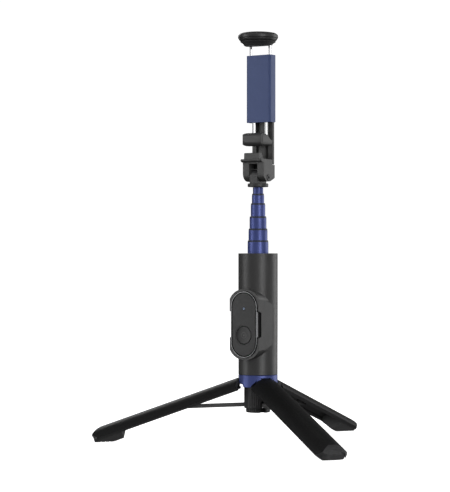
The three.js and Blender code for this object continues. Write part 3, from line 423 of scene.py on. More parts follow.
@dataclass(frozen=True)
class SoftRubber(Finish):
    """Soft matt rubber with a pebbled surface and a dusty bloom."""

    def paint(self, graph: Graph) -> None:
        """Pebbles and bloom."""
        bloom = graph.noise(2.4, detail=5)
        base = graph.blend(graph.spread(bloom, 0, 1), shade(self.colour, 0.8), shade(self.colour, 1.35))
        graph.feed("Base Color", base)
        graph.feed("Roughness", graph.spread(bloom, self.roughness - 0.08, self.roughness + 0.06))
        graph.feed("Normal", graph.bump(graph.cells(0.5), 0.03))
        graph.set(Specular_IOR_Level=0.35, Sheen_Weight=0.12, Sheen_Roughness=0.5)


@dataclass(frozen=True)
class CircuitBoard(Finish):
    """Solder mask over copper tracks."""

    def paint(self, graph: Graph) -> None:
        """Tracks that show through the mask as lighter, raised lines."""
        bricks = graph.node("ShaderNodeTexBrick")
        graph.link(graph.stretched(2.2, (1, 1, 1)), bricks.inputs["Vector"])
        bricks.inputs["Scale"].default_value = 1
        bricks.inputs["Mortar Size"].default_value = 0.06
        graph.feed("Base Color", graph.blend(bricks.outputs["Fac"], self.colour, shade(self.colour, 2.2)))
        graph.feed("Roughness", graph.spread(graph.noise(2), self.roughness - 0.1, self.roughness + 0.1))
        graph.feed("Normal", graph.bump(bricks.outputs["Fac"], 0.03))


@dataclass(frozen=True)
class FrostedLens(Finish):
    """Milky light pipe."""

    def paint(self, graph: Graph) -> None:
        """Frosting, with some light let through."""
        frost = graph.noise(0.4, detail=4)
        graph.feed("Base Color", graph.blend(frost, shade(self.colour, 0.8), self.colour))
        graph.feed("Roughness", graph.spread(frost, self.roughness, self.roughness + 0.15))
        graph.feed("Normal", graph.bump(frost, 0.01))
        graph.set(Transmission_Weight=0.4, IOR=1.49)


CHARCOAL = MouldedPlastic("charcoal_moulding", "charcoal_plastic", (0.043, 0.043, 0.043), 0.42)
LEG_BLACK = MouldedPlastic(
    "leg_moulding", "black_plastic", (0.0045, 0.0045, 0.0047), 0.5, 0.3, relief=0.009, edge_sheen=0.2, gloss=0.2
)
CAP_BLACK = MouldedPlastic("cap_moulding", "black_plastic", (0.03, 0.03, 0.03), 0.4, relief=0.008, edge_sheen=0.2)
# Painted shade: the collar's dark colour stands for the shadow at each pole tube's shoulder.
SHADED_COLLAR = MouldedPlastic("collar_painted_shade", "grey_plastic", (0.02, 0.025, 0.045), 0.5, relief=0.005, edge_sheen=0.3)
STRUT_GREY = MouldedPlastic("strut_moulding", "grey_plastic", (0.1, 0.1, 0.1), 0.42, relief=0.008, edge_sheen=0.2)
BLACK = MouldedPlastic("black_moulding", "black_plastic", (0.016, 0.016, 0.0165), 0.45, grain=0.3, edge_sheen=0.25)
GREY = MouldedPlastic("grey_moulding", "grey_plastic", (0.034, 0.034, 0.035), 0.46)
GLOSS = MouldedPlastic(
    "remote_moulding", "grey_plastic", (0.024, 0.024, 0.0245), 0.38, 0.25, relief=0.003, edge_sheen=0.25, gloss=0.35
)
PRINT = MouldedPlastic("grey_print", "grey_plastic", (0.085, 0.085, 0.085), 0.5, relief=0.004, edge_sheen=0.1)
BLUE_TUBE = AnodisedMetal("blue_anodising", "blue_anodised", (0.07, 0.095, 0.3), 0.4)
BLUE_PAINT = SatinPaint("blue_paint", "blue_cover", (0.036, 0.06, 0.165), 0.46)
CHROME = TurnedMetal("chrome_plate", "chrome_rod", (0.86, 0.86, 0.87), 0.07)
DARK_CHROME = TurnedMetal("smoked_chrome", "chrome_rod", (0.17, 0.17, 0.175), 0.14)
BLACKED_STEEL = TurnedMetal("blacked_steel", "steel", (0.07, 0.07, 0.072), 0.36, relief=0.005)
STEEL = TurnedMetal("turned_steel", "steel", (0.5, 0.5, 0.51), 0.3, relief=0.006)
RUBBER = SoftRubber("soft_rubber", "rubber", (0.012, 0.012, 0.0125), 0.72)
FOOT_RUBBER = SoftRubber("foot_rubber", "rubber", (0.042, 0.042, 0.043), 0.62)
BOARD = CircuitBoard("solder_mask", "circuit_board", (0.012, 0.09, 0.03), 0.45)
LENS = FrostedLens("frosted_lens", "light_pipe", (0.3, 0.4, 0.6), 0.2)


# ------------------------------------------------------------------------------------------- shapes
class Axis(Enum):
    """The axis along which an outline is drawn out."""

    X = "x"
    Y = "y"
    Z = "z"

    def basis(self) -> Matrix:
        """Turns an outline's plane and depth into x, y and z."""
        columns = {
            Axis.X: ((0, 1, 0), (0, 0, 1), (1, 0, 0)),
            Axis.Y: ((1, 0, 0), (0, 0, 1), (0, 1, 0)),
            Axis.Z: ((1, 0, 0), (0, 1, 0), (0, 0, 1)),
        }[self]
        return Matrix(columns).transposed().to_4x4()


class Outline:
    """Flat outlines, each a mesh of one face."""

    @staticmethod
    def rounded(
        half_a: float, half_b: float, radius: float, centre_b: float = 0, sides: int = TUBE_SIDES
    ) -> bmesh.types.BMesh:
        """A rectangle with round corners, or with round ends.

        Args:
            half_a: Half its width.
            half_b: Half its height.
            radius: Radius of the corners.
            centre_b: Height of its centre.
            sides: Facets of the four corners together.

        Returns:
            The outline.
        """
        mesh = bmesh.new()
        turn = Matrix.Rotation(math.pi / sides, 4, "Z")
        reach = radius / math.cos(math.pi / sides)
        bmesh.ops.create_circle(mesh, cap_ends=True, segments=sides, radius=reach, matrix=turn)
        for vertex in mesh.verts:
            vertex.co.x += math.copysign(half_a - radius, vertex.co.x)
            vertex.co.y += math.copysign(half_b - radius, vertex.co.y) + centre_b
        return mesh

    @staticmethod
    def polygon(corners: Iterable[Corner], segments: int = 6) -> bmesh.types.BMesh:
        """A polygon, some of whose corners are rounded.

        Args:
            corners: Each corner's two coordinates, and how far from it its rounding starts.
            segments: Facets of each rounding.

        Returns:
            The outline.
        """
        mesh = bmesh.new()
        placed = [(mesh.verts.new((a, b, 0)), reach) for a, b, reach in corners]
        mesh.faces.new([vertex for vertex, _ in placed])
        for vertex, reach in placed:
            if reach > 0:
                bmesh.ops.bevel(
                    mesh,
                    geom=[vertex],
                    offset=reach,
                    offset_type="OFFSET",
                    segments=segments,
                    profile=0.5,
                    affect="VERTICES",
                    material=-1,
                )
        return mesh

    @staticmethod
    def ribbed(radius: float, ribs: int, depth: float) -> bmesh.types.BMesh:
        """A circle with flutes cut into it.

        Args:
            radius: Radius over the ribs.
            ribs: Number of ribs.
            depth: Depth of a flute.

        Returns:
            The outline.
        """
        mesh = bmesh.new()
        bmesh.ops.create_circle(mesh, cap_ends=True, segments=4 * ribs, radius=radius)
        mesh.verts.ensure_lookup_table()
        flutes = [v for v in mesh.verts if v.index % 4 == 3]
        bmesh.ops.scale(mesh, vec=Vector((1, 1, 1)) * (1 - depth / radius), verts=flutes)
        return mesh


class Form:
    """A closed shape, in millimetres about the pole's axis."""

    def __init__(self, mesh: bpy.types.Mesh) -> None:
        """Wraps a mesh.

        Args:
            mesh: The closed mesh.
        """
        self.mesh = mesh

    @classmethod
    def of(cls, shape: bmesh.types.BMesh, weld: float = 1e-4) -> Form:
        """Closes a mesh under edit into a form.

        Args:
            shape: The mesh under edit, which is freed.
            weld: Vertices nearer than this become one.

        Returns:
            The form.
        """
        bmesh.ops.remove_doubles(shape, verts=shape.verts[:], dist=weld)
        bmesh.ops.recalc_face_normals(shape, faces=shape.faces[:])
        mesh = bpy.data.meshes.new("form")
        shape.to_mesh(mesh)
        shape.free()
        return cls(mesh)

    @classmethod
    def prism(cls, outline: bmesh.types.BMesh, axis: Axis, low: float, high: float) -> Form:
        """Draws an outline out along an axis.

        Args:
            outline: The outline; its plane is x-y for Z, x-z for Y and y-z for X.
            axis: The axis.
            low: Where the form starts along the axis.
            high: Where it ends.

        Returns:
            The form.
        """
        bmesh.ops.translate(outline, verts=outline.verts[:], vec=(0, 0, low))
        drawn = bmesh.ops.extrude_face_region(outline, geom=outline.faces[:])["geom"]
        far = [item for item in drawn if isinstance(item, bmesh.types.BMVert)]
        bmesh.ops.translate(outline, verts=far, vec=(0, 0, high - low))
        bmesh.ops.transform(outline, matrix=axis.basis(), verts=outline.verts[:])
        return cls.of(outline)

    @classmethod
    def turned(cls, corners: Iterable[Corner], steps: int = ROUND_SIDES) -> Form:
        """Spins a profile about the Z axis.

        Args:
            corners: Radius and height of each corner of the profile, and how far its rounding reaches.
            steps: Facets of the full turn.

        Returns:
            The form.
        """
        profile = Outline.polygon(corners, segments=4)
        bmesh.ops.transform(profile, matrix=Axis.Y.basis(), verts=profile.verts[:])
        bmesh.ops.delete(profile, geom=profile.faces[:], context="FACES_ONLY")
        on_axis = [e for e in profile.edges if all(v.co.x < ON_AXIS for v in e.verts)]
        bmesh.ops.delete(profile, geom=on_axis, context="EDGES")
        bmesh.ops.spin(
            profile,
            geom=profile.verts[:] + profile.edges[:],
            cent=(0, 0, 0),
            axis=(0, 0, 1),
            angle=math.tau,
            steps=steps,
            use_merge=True,
        )
        return cls.of(profile)

    @classmethod
    def tube(cls, bore: float, radius: float, low: float, high: float, ease: float = 0) -> Form:
        """A tube about the Z axis.

        Args:
            bore: Its inner radius.
            radius: Its outer radius.
            low: Height of its lower end.
            high: Height of its upper end.
            ease: Rounding of its edges.

        Returns:
            The form.
        """
        return cls.turned([(bore, low, ease), (radius, low, ease), (radius, high, ease), (bore, high, ease)])

    @classmethod
    def rod(
        cls, radius: float, start: Sequence[float], end: Sequence[float], sides: int = PIN_SIDES
    ) -> Form:
        """A round bar between two points.

        Args:
            radius: Its radius.
            start: One end of its axis.
            end: The other end.
            sides: Facets.

        Returns:
            The form.
        """
        first, last = Vector(start), Vector(end)
        along = last - first
        turn = along.to_track_quat("Z", "Y").to_matrix().to_4x4()
        shape = bmesh.new()
        bmesh.ops.create_cone(
            shape,
            cap_ends=True,
            segments=sides,
            radius1=radius,
            radius2=radius,
            depth=along.length,
            matrix=Matrix.Translation((first + last) / 2) @ turn,
        )
        return cls.of(shape)

    @classmethod
    def block(cls, low: Sequence[float], high: Sequence[float]) -> Form:
        """A block between two corners.

        Args:
            low: Its lowest corner.
            high: Its highest corner.

        Returns:
            The form.
        """
        size = Vector(high) - Vector(low)
        middle = (Vector(high) + Vector(low)) / 2
        shape = bmesh.new()
        bmesh.ops.create_cube(shape, size=1)
        bmesh.ops.scale(shape, vec=size, verts=shape.verts[:])
        bmesh.ops.translate(shape, vec=middle, verts=shape.verts[:])
        return cls.of(shape)

    def copy(self) -> Form:
        """A copy of the form."""
        return Form(self.mesh.copy())

    def moved(self, matrix: Matrix) -> Form:
        """Moves or turns the form.

        Args:
            matrix: How it moves.

        Returns:
            The form itself.
        """
        self.mesh.transform(matrix)
        return self

    def _with(self, dress: Callable[[bpy.types.Object], None]) -> Form:
        """Applies modifiers to the form.

        Args:
            dress: Adds the modifiers to an object that holds the form.

        Returns:
            The form itself.
        """
        holder = bpy.data.objects.new("work", self.mesh)
        bpy.context.scene.collection.objects.link(holder)
        dress(holder)
        graph = bpy.context.evaluated_depsgraph_get()
        self.mesh = bpy.data.meshes.new_from_object(holder.evaluated_get(graph), depsgraph=graph)
        bpy.data.objects.remove(holder)
        return self

    def _combine(self, operation: str, others: Sequence[Form]) -> Form:
        """Joins, cuts or intersects with other forms, exactly."""
        tools = []
        for other in others:
            tool = bpy.data.objects.new("tool", other.mesh)
            bpy.context.scene.collection.objects.link(tool)
            tools.append(tool)

        def dress(holder: bpy.types.Object) -> None:
            """One Boolean for each of the other forms."""
            for tool in tools:
                boolean = holder.modifiers.new("shape", "BOOLEAN")
                boolean.operation = operation
                boolean.solver = "EXACT"
                boolean.object = tool

        self._with(dress)
        for tool in tools:
            bpy.data.objects.remove(tool)
        return self

    def join(self, *others: Form) -> Form:
        """Joins other forms to this one."""
        return self._combine("UNION", others)

    def cut(self, *others: Form) -> Form:
        """Cuts other forms out of this one."""
        return self._combine("DIFFERENCE", others)

    def keep(self, *others: Form) -> Form:
        """Keeps what lies inside each of the other forms."""
        return self._combine("INTERSECT", others)

    def cleaned(self) -> Form:
        """Welds slivers, and merges faces that lie in one plane unless that folds the surface."""
        shape = bmesh.new()
        shape.from_mesh(self.mesh)
        bmesh.ops.remove_doubles(shape, verts=shape.verts[:], dist=SLIVER)
        merged = shape.copy()
        bmesh.ops.dissolve_limit(
            merged, angle_limit=FLAT_ANGLE, verts=merged.verts[:], edges=merged.edges[:]
        )
        sound = self.folded(merged) < self.folded(shape) + FOLD
        (merged if sound else shape).to_mesh(self.mesh)
        merged.free()
        shape.free()
        return self

    @staticmethod
    def folded(shape: bmesh.types.BMesh) -> float:
        """The area by which a mesh's faces lie over themselves."""
        triangles = [[loop.vert.co for loop in corner] for corner in shape.calc_loop_triangles()]
        return sum(area_tri(*points) for points in triangles) - sum(face.calc_area() for face in shape.faces)

    def marked_within(self, radius: float) -> Form:
        """Marks the faces nearer to the pole's axis than a radius for a second finish."""
        for face in self.mesh.polygons:
            face.material_index = int(face.center.xy.length < radius)
        return self

    def measure(self) -> tuple[Vector, Vector, float, int, float]:
        """The form's lowest and highest corners, its volume, its open edges and its folded area."""
        shape = bmesh.new()
        shape.from_mesh(self.mesh)
        bmesh.ops.remove_doubles(shape, verts=shape.verts[:], dist=WELD)
        low = Vector([min(v.co[i] for v in shape.verts) for i in range(3)])
        high = Vector([max(v.co[i] for v in shape.verts) for i in range(3)])
        volume = shape.calc_volume(signed=True)
        torn = sum(len(edge.link_faces) != 2 for edge in shape.edges)
        folded = self.folded(shape)
        shape.free()
        return low, high, volume, torn, folded

    def eased(self, width: float, segments: int = 2, angle: float = 32) -> Form:
        """Rounds the form's edges, by less where the full width would fold the surface over.

        Args:
            width: Width of the rounding.
            segments: Its facets.
            angle: Edges flatter than this many degrees stay.

        Returns:
            The form itself.
        """

        def dress(holder: bpy.types.Object) -> None:
            """A bevel on the sharp edges."""
            bevel = holder.modifiers.new("ease", "BEVEL")
            bevel.width = width
            bevel.segments = segments
            bevel.limit_method = "ANGLE"
            bevel.angle_limit = math.radians(angle)
            bevel.use_clamp_overlap = False

        self.cleaned()
        low, high, volume, torn, folded = self.measure()
        sharp = self.mesh
        for _ in range(ROUNDING_TRIES):
            self._with(dress)
            new_low, new_high, new_volume, new_torn, new_folded = self.measure()
            grown = max(max(low - new_low), max(new_high - high))
            steady = grown < BOX_SLACK and abs(new_volume - volume) < VOLUME_SLACK * abs(volume)
            if steady and new_torn <= torn and new_folded < folded + FOLD:
                return self
            LOG.info("a rounding of %.2f mm folds over %.2f mm2, halved", width, new_folded - folded)
            self.mesh = sharp
            width /= 2
        return self


@dataclass(frozen=True)
class Extent:
    """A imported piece's box, in millimetres about the pole's axis."""

    low: Vector
    high: Vector

    @property
    def middle(self) -> Vector:
        """The middle of the box."""
        return (self.low + self.high) / 2

    @property
    def size(self) -> Vector:
        """The size of the box."""
        return self.high - self.low


class Bench:
    """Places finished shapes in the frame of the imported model."""

    def __init__(self, frame: dict) -> None:
        """Finds the pole's axis.
        """
        low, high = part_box("pole_section_1")
        self.axis = Vector(((low.x + high.x) / 2, (low.y + high.y) / 2, 0))
        bodies = frame["record"]["behaviour"]["bodies"]
        self.bodies = {node: body for body, nodes in bodies.items() for node in nodes}
        self.nodes = frame["nodes"]

    def extent(self, node: str) -> Extent:
        """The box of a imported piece."""
        low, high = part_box(node)
        return Extent((low - self.axis) / MM, (high - self.axis) / MM)

    def place(
        self,
        form: Form,
        name: str,
        finish: Finish,
        node: str,
        stands_for: bool = True,
        second: Finish | None = None,
    ) -> bpy.types.Object:
        """Finishes a form as a piece of the object.

        Args:
            form: The form, in millimetres about the pole's axis.
            name: The piece's name.
            finish: Its finish.
            node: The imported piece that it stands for, or that it is fixed to.
            stands_for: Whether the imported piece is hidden.
            second: The finish of the faces marked for it.

        Returns:
            The piece.
        """
        shape = bmesh.new()
        shape.from_mesh(form.mesh)
        bmesh.ops.remove_doubles(shape, verts=shape.verts[:], dist=WELD)
        bmesh.ops.dissolve_degenerate(shape, edges=shape.edges[:], dist=WELD / 2)
        bmesh.ops.recalc_face_normals(shape, faces=shape.faces[:])
        if shape.calc_volume(signed=True) < 0:
            bmesh.ops.reverse_faces(shape, faces=shape.faces[:])
        to_frame = Matrix.Translation(self.axis) @ Matrix.Scale(MM, 4)
        bmesh.ops.transform(shape, matrix=to_frame, verts=shape.verts[:])
        mesh = bpy.data.meshes.new(name)
        shape.to_mesh(mesh)
        shape.free()
        mesh.polygons.foreach_set("use_smooth", [True] * len(mesh.polygons))
        mesh.set_sharp_from_angle(angle=SMOOTH_ANGLE)
        mesh.materials.append(finish.material())
        if second is not None:
            mesh.materials.append(second.material())
        piece = bpy.data.objects.new(name, mesh)
        bpy.context.scene.collection.objects.link(piece)
        weighted = piece.modifiers.new("flat_faces", "WEIGHTED_NORMAL")
        weighted.keep_sharp = True
        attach(piece, self.bodies[node])
        if stands_for:
            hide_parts(node)
        LOG.info("%s: %d faces, rides on %s", name, len(mesh.polygons), self.bodies[node])
        return piece

    def dress(self, node: str, finish: Finish) -> None:
        """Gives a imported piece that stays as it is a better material."""
        piece = self.nodes[node]
        if not piece.material_slots:
            piece.data.materials.append(finish.material())
        for slot in piece.material_slots:
            slot.material = finish.material()
        LOG.info("%s: kept, finished as %s", node, finish.name)


def about_pole(degrees: float) -> Matrix:
    """A turn about the pole's axis."""
    return Matrix.Rotation(math.radians(degrees), 4, "Z")


# ------------------------------------------------------------------------------------------- grip
@dataclass
class Grip:
    """The grip casing with the boss and the bay that hold the remote."""

    bench: Bench
    wall: float = 1.8
    top_wall: float = 2
    bay_wall: float = 1.3
    boss_rim: float = 1.5
    notch_half: float = 11
    notch_depth: float = 4.6
    notch_slant: float = 3
    pole_clearance: float = 0.2
    top_ease: float = 0.25
    foot_ease: float = 0.15
    rim_ease: float = 0.3

    def build(self) -> None:
        """Makes the casing and finishes the guides inside it."""
        self.bench.place(self.casing(), "casing", CHARCOAL, "grip_casing")
        self.bench.dress("pole_guide_upper", BLACK)
        self.bench.dress("pole_guide_lower", BLACK)

    def boss(self) -> Form:
        """The flat-fronted boss, whose flanks run out tangentially to the grip."""
        casing = self.bench.extent("grip_casing")
        remote = self.bench.extent("remote_bezel")
        radius, front = casing.high.x, casing.low.y
        half = remote.high.x + self.boss_rim
        half_length = remote.size.z / 2 + self.boss_rim
        height = remote.middle.z
        touch = math.atan2(front, half) + math.acos(radius / math.hypot(half, front))
        side, back = radius * math.cos(touch), radius * math.sin(touch)
        corners = [(-half, front, 0), (half, front, 0), (side, back, 0), (-side, back, 0)]
        flare = Form.prism(Outline.polygon(corners), Axis.Z, height - half_length, height + half_length)
        shoulder = Outline.rounded(side, half_length, half, height)
        flare.keep(Form.prism(shoulder, Axis.Y, front - 1, back))
        straight = Form.prism(Outline.rounded(half, half_length, half, height), Axis.Y, front, back)
        return straight.join(flare)

    def notch(self, side: int) -> Form:
        """A finger notch beside the remote, with slanting ends.

        Args:
            side: -1 for the left and 1 for the right.

        Returns:
            The notch to cut.
        """
        casing = self.bench.extent("grip_casing")
        remote = self.bench.extent("remote_bezel")
        front, height = casing.low.y, remote.middle.z
        floor = front + self.notch_depth
        near, far = side * (remote.high.x - 1), side * (remote.high.x + 2.2)
        plan = [(near, front - CLEAR, 0), (far, front - CLEAR, 0), (far, floor - 2, 0), (near, floor, 0)]
        reach = self.notch_half + self.notch_slant
        form = Form.prism(Outline.polygon(plan), Axis.Z, height - reach, height + reach)
        ends = [
            (front - 2, height - self.notch_half, 0),
            (floor + 1, height - self.notch_half + self.notch_slant, 0),
            (floor + 1, height + self.notch_half - self.notch_slant, 0),
            (front - 2, height + self.notch_half, 0),
        ]
        low, high = sorted((side * 8, side * 20))
        return form.keep(Form.prism(Outline.polygon(ends), Axis.X, low, high))

    def casing(self) -> Form:
        """The casing, hollow, with the bay for the remote and the pole's mouth."""
        casing = self.bench.extent("grip_casing")
        remote = self.bench.extent("remote_bezel")
        back = self.bench.extent("remote_back_shell").high.y + GAP
        pole = self.bench.extent("pole_section_1").high.x
        radius, low, high = casing.high.x, casing.low.z, casing.high.z
        front = remote.low.y - 1
        profile = [(0, low, 0), (radius, low, self.foot_ease), (radius, high, self.top_ease), (0, high, 0)]
        shell = Form.turned(profile)
        shell.join(self.boss())
        pocket = (remote.high.x + GAP, remote.size.z / 2 + GAP, remote.high.x + GAP, remote.middle.z)
        within = Form.rod(radius, (0, 0, low), (0, 0, high), ROUND_SIDES)
        floor = Form.prism(Outline.rounded(*pocket), Axis.Y, back, back + self.bay_wall).keep(within)
        solid = self.boss().join(floor)
        solid.keep(Form.block((-radius, front, low), (radius, back + self.bay_wall, high)))
        hollow = Form.rod(radius - self.wall, (0, 0, low - 1), (0, 0, high - self.top_wall), ROUND_SIDES)
        hollow.cut(solid)
        bay = Form.prism(Outline.rounded(*pocket), Axis.Y, front, back)
        mouth = Form.rod(pole + self.pole_clearance, (0, 0, high - 5), (0, 0, high + CLEAR), TUBE_SIDES)
        shell.cut(hollow, bay, mouth, self.notch(-1), self.notch(1))
        return shell.eased(self.rim_ease, segments=3)


# ------------------------------------------------------------------------------------------- tripod
LEG_AZIMUTHS = {"left": 210, "right": 330, "rear": 90}


@dataclass
class LegShape:
    """Sizes that the legs share, with the pose in which the object stands."""

    hinge_height: float = 47.8
    hinge_radius: float = 11.8
    length: float = 124.6
    toe_depth: float = 5.8
    grip_radius: float = 15

    @property
    def slope(self) -> float:
        """How steeply an open leg falls, so that its toe meets the floor."""
        reach = math.hypot(self.length, self.toe_depth)
        return math.asin(self.hinge_height / reach) - math.atan2(self.toe_depth, self.length)

    def opened(self) -> Matrix:
        """The turn about the hinge that opens a folded leg."""
        pivot = Matrix.Translation((self.hinge_radius, 0, self.hinge_height))
        return pivot @ Matrix.Rotation(self.slope - math.pi / 2, 4, "Y") @ pivot.inverted()

    def point(self, along: float, out: float) -> Vector:
        """A point of the open leg.

        Args:
            along: Distance from the hinge along the leg.
            out: Distance out from the hinge line.

        Returns:
            The point, for the leg that points along X.
        """
        cos, sin = math.cos(self.slope), math.sin(self.slope)
        x = self.hinge_radius + along * cos + out * sin
        return Vector((x, 0, self.hinge_height - along * sin + out * cos))

    def across(self, radius: float, half: float) -> Form:
        """A rod across the leg, through its hinge."""
        start = (self.hinge_radius, -half, self.hinge_height)
        return Form.rod(radius, start, (self.hinge_radius, half, self.hinge_height))


@dataclass
class Hub:
    """The blue ring between the grip and the legs, with a tongue between each two legs."""

    bench: Bench
    legs: LegShape
    neck_radius: float = 9.6
    neck_gap: float = 0.3
    ring: float = 2
    arch_flat: float = 4.4
    arch_shoulder: float = 2
    lug_inner: float = 4.3
    lug_outer: float = 7
    knuckle: float = 2.5
    pin_hole: float = 1
    ease: float = 0.22

    def build(self) -> None:
        """Makes the hub and its three hinge pins."""
        self.bench.place(self.hub(), "hub", BLUE_TUBE, "leg_hub")
        for side, azimuth in LEG_AZIMUTHS.items():
            pin = self.legs.across(self.pin_hole - 0.2, self.lug_outer).eased(0.2).moved(about_pole(azimuth))
            self.bench.place(pin, f"hinge_pin_{side}", STEEL, f"leg_hinge_pin_{side}")

    def arch(self) -> Form:
        """The opening over the leg that points along X."""
        hub = self.bench.extent("leg_hub")
        tip, top = hub.low.z, hub.high.z - self.ring
        foot = self.legs.grip_radius * math.sin(math.pi / 3) - self.arch_shoulder
        corners = [
            (-foot, tip - 2, 0),
            (foot, tip - 2, 0),
            (foot, tip + 1.2, 1.4),
            (self.arch_flat + 1.2, top, 1.8),
            (-self.arch_flat - 1.2, top, 1.8),
            (-foot, tip + 1.2, 1.4),
        ]
        return Form.prism(Outline.polygon(corners), Axis.X, 0, self.legs.grip_radius + 3)

    def lug(self, side: int) -> Form:
        """One of the two lugs that carry a hinge pin."""
        hub = self.bench.extent("leg_hub")
        near, far = sorted((side * self.lug_inner, side * self.lug_outer))
        x, z = self.legs.hinge_radius, self.legs.hinge_height
        round_end = Form.rod(self.knuckle, (x, near, z), (x, far, z))
        web = Form.block((10.4, near, z), (x + self.knuckle, far, hub.high.z - 0.4))
        return round_end.join(web)

    def hub(self) -> Form:
        """The ring with its arches and lugs."""
        hub = self.bench.extent("leg_hub")
        neck = self.bench.extent("strut_column")
        bore, radius = self.neck_radius + self.neck_gap, hub.high.x
        low, high = hub.low.z, hub.high.z
        ring = Form.turned([(bore, low, 0), (radius, low, 0.5), (radius, high, 0.35), (bore, high, 0)])
        below = Form.rod(
            neck.high.x + self.neck_gap, (0, 0, low - CLEAR), (0, 0, self.legs.hinge_height - 3), TUBE_SIDES
        )
        ring.cut(*[self.arch().moved(about_pole(a)) for a in LEG_AZIMUTHS.values()], below)
        within = Form.tube(bore, radius - 0.2, low - CLEAR, high + CLEAR)
        for azimuth in LEG_AZIMUTHS.values():
            pair = self.lug(-1).join(self.lug(1)).keep(within.copy())
            pair.cut(self.legs.across(self.pin_hole, self.lug_outer + 1))
            ring.join(pair.moved(about_pole(azimuth)))
        return ring.eased(self.ease)


@dataclass
class Column:
    """The ribbed column under the hub, its cap and the runner that slides in it."""

    bench: Bench
    legs: LegShape
    bore: float = 8.9
    neck_radius: float = 9.6
    neck_drop: float = 3.3
    slot_half: float = 2.1
    slot_above_hinge: float = 3.2
    ribs: int = 44
    rib_depth: float = 0.22
    band_height: float = 1.6
    cap_ribs: int = 30
    cap_rib_depth: float = 0.3
    cap_floor: float = 4.6
    screw_hole: float = 1.6
    screw_sink: float = 2.9

    def build(self) -> None:
        """Makes the column, the cap and the screw, and finishes the runner."""
        self.bench.place(self.column(), "column", GREY, "strut_column")
        self.bench.place(self.cap(), "base_cap", GREY, "column_base_cap")
        self.bench.place(self.screw(), "cap_screw", STEEL, "base_screw")
        self.bench.dress("strut_runner", BLACK)

    def slots(self, inner: float, low: float, high: float) -> list[Form]:
        """The three slots through which the struts pass.

        Args:
            inner: Where they start, from the pole's axis.
            low: Their lower ends.
            high: Their upper ends.

        Returns:
            The slots to cut.
        """
        slot = Form.block((inner, -self.slot_half, low), (inner + 12, self.slot_half, high))
        return [slot.copy().moved(about_pole(a)) for a in LEG_AZIMUTHS.values()]

    def column(self) -> Form:
        """The column: a smooth band below, fine ribs above it, and a plain neck."""
        box = self.bench.extent("strut_column")
        radius, low, high = box.high.x, box.low.z, box.high.z
        neck = self.legs.hinge_height - self.neck_drop
        body = Form.prism(Outline.ribbed(radius, self.ribs, self.rib_depth), Axis.Z, low + 1.2, neck)
        smooth, top = radius - 0.1, low + self.band_height
        band = Form.turned([(0, low, 0), (smooth, low, 0.3), (smooth, top, 0.2), (0, top, 0)])
        spigot = Form.rod(self.neck_radius, (0, 0, neck - 1), (0, 0, high), TUBE_SIDES)
        body.join(band, spigot)
        body.cut(Form.rod(self.bore, (0, 0, low - CLEAR), (0, 0, high + CLEAR), TUBE_SIDES))
        body.cut(*self.slots(self.bore - 2, low - 1, self.legs.hinge_height + self.slot_above_hinge))
        return body.eased(0.12)

    def cap(self) -> Form:
        """The fluted cap with its counterbore."""
        box = self.bench.extent("column_base_cap")
        radius, low, high = box.high.x, box.low.z, box.high.z
        disc = Form.prism(Outline.ribbed(radius, self.cap_ribs, self.cap_rib_depth), Axis.Z, low, high)
        profile = [(0, low, 0), (radius, low, 0.9), (radius, high, 0.3), (0, high, 0)]
        disc.keep(Form.turned(profile))
        disc.cut(
            Form.rod(self.screw_hole, (0, 0, low - 1), (0, 0, high + 1)),
            Form.rod(self.screw_sink, (0, 0, low - 1), (0, 0, low + 1.2)),
            *self.slots(self.cap_floor, low - 1, high + 1),
        )
        return disc.eased(0.14)

    def screw(self) -> Form:
        """The cap's screw, with a cross recess in its head."""
        box = self.bench.extent("base_screw")
        low, high, radius = box.low.z, box.high.z, box.high.x
        profile = [(0, low, 0), (radius, low, 0.35), (radius, low + 0.9, 0.1), (1.3, low + 0.9, 0)]
        screw = Form.turned([*profile, (1.3, high, 0.3), (0, high, 0)], 48)
        arm = Form.block((-1.3, -0.3, low - CLEAR), (1.3, 0.3, low + 0.5))
        return screw.cut(arm, arm.copy().moved(about_pole(90)))


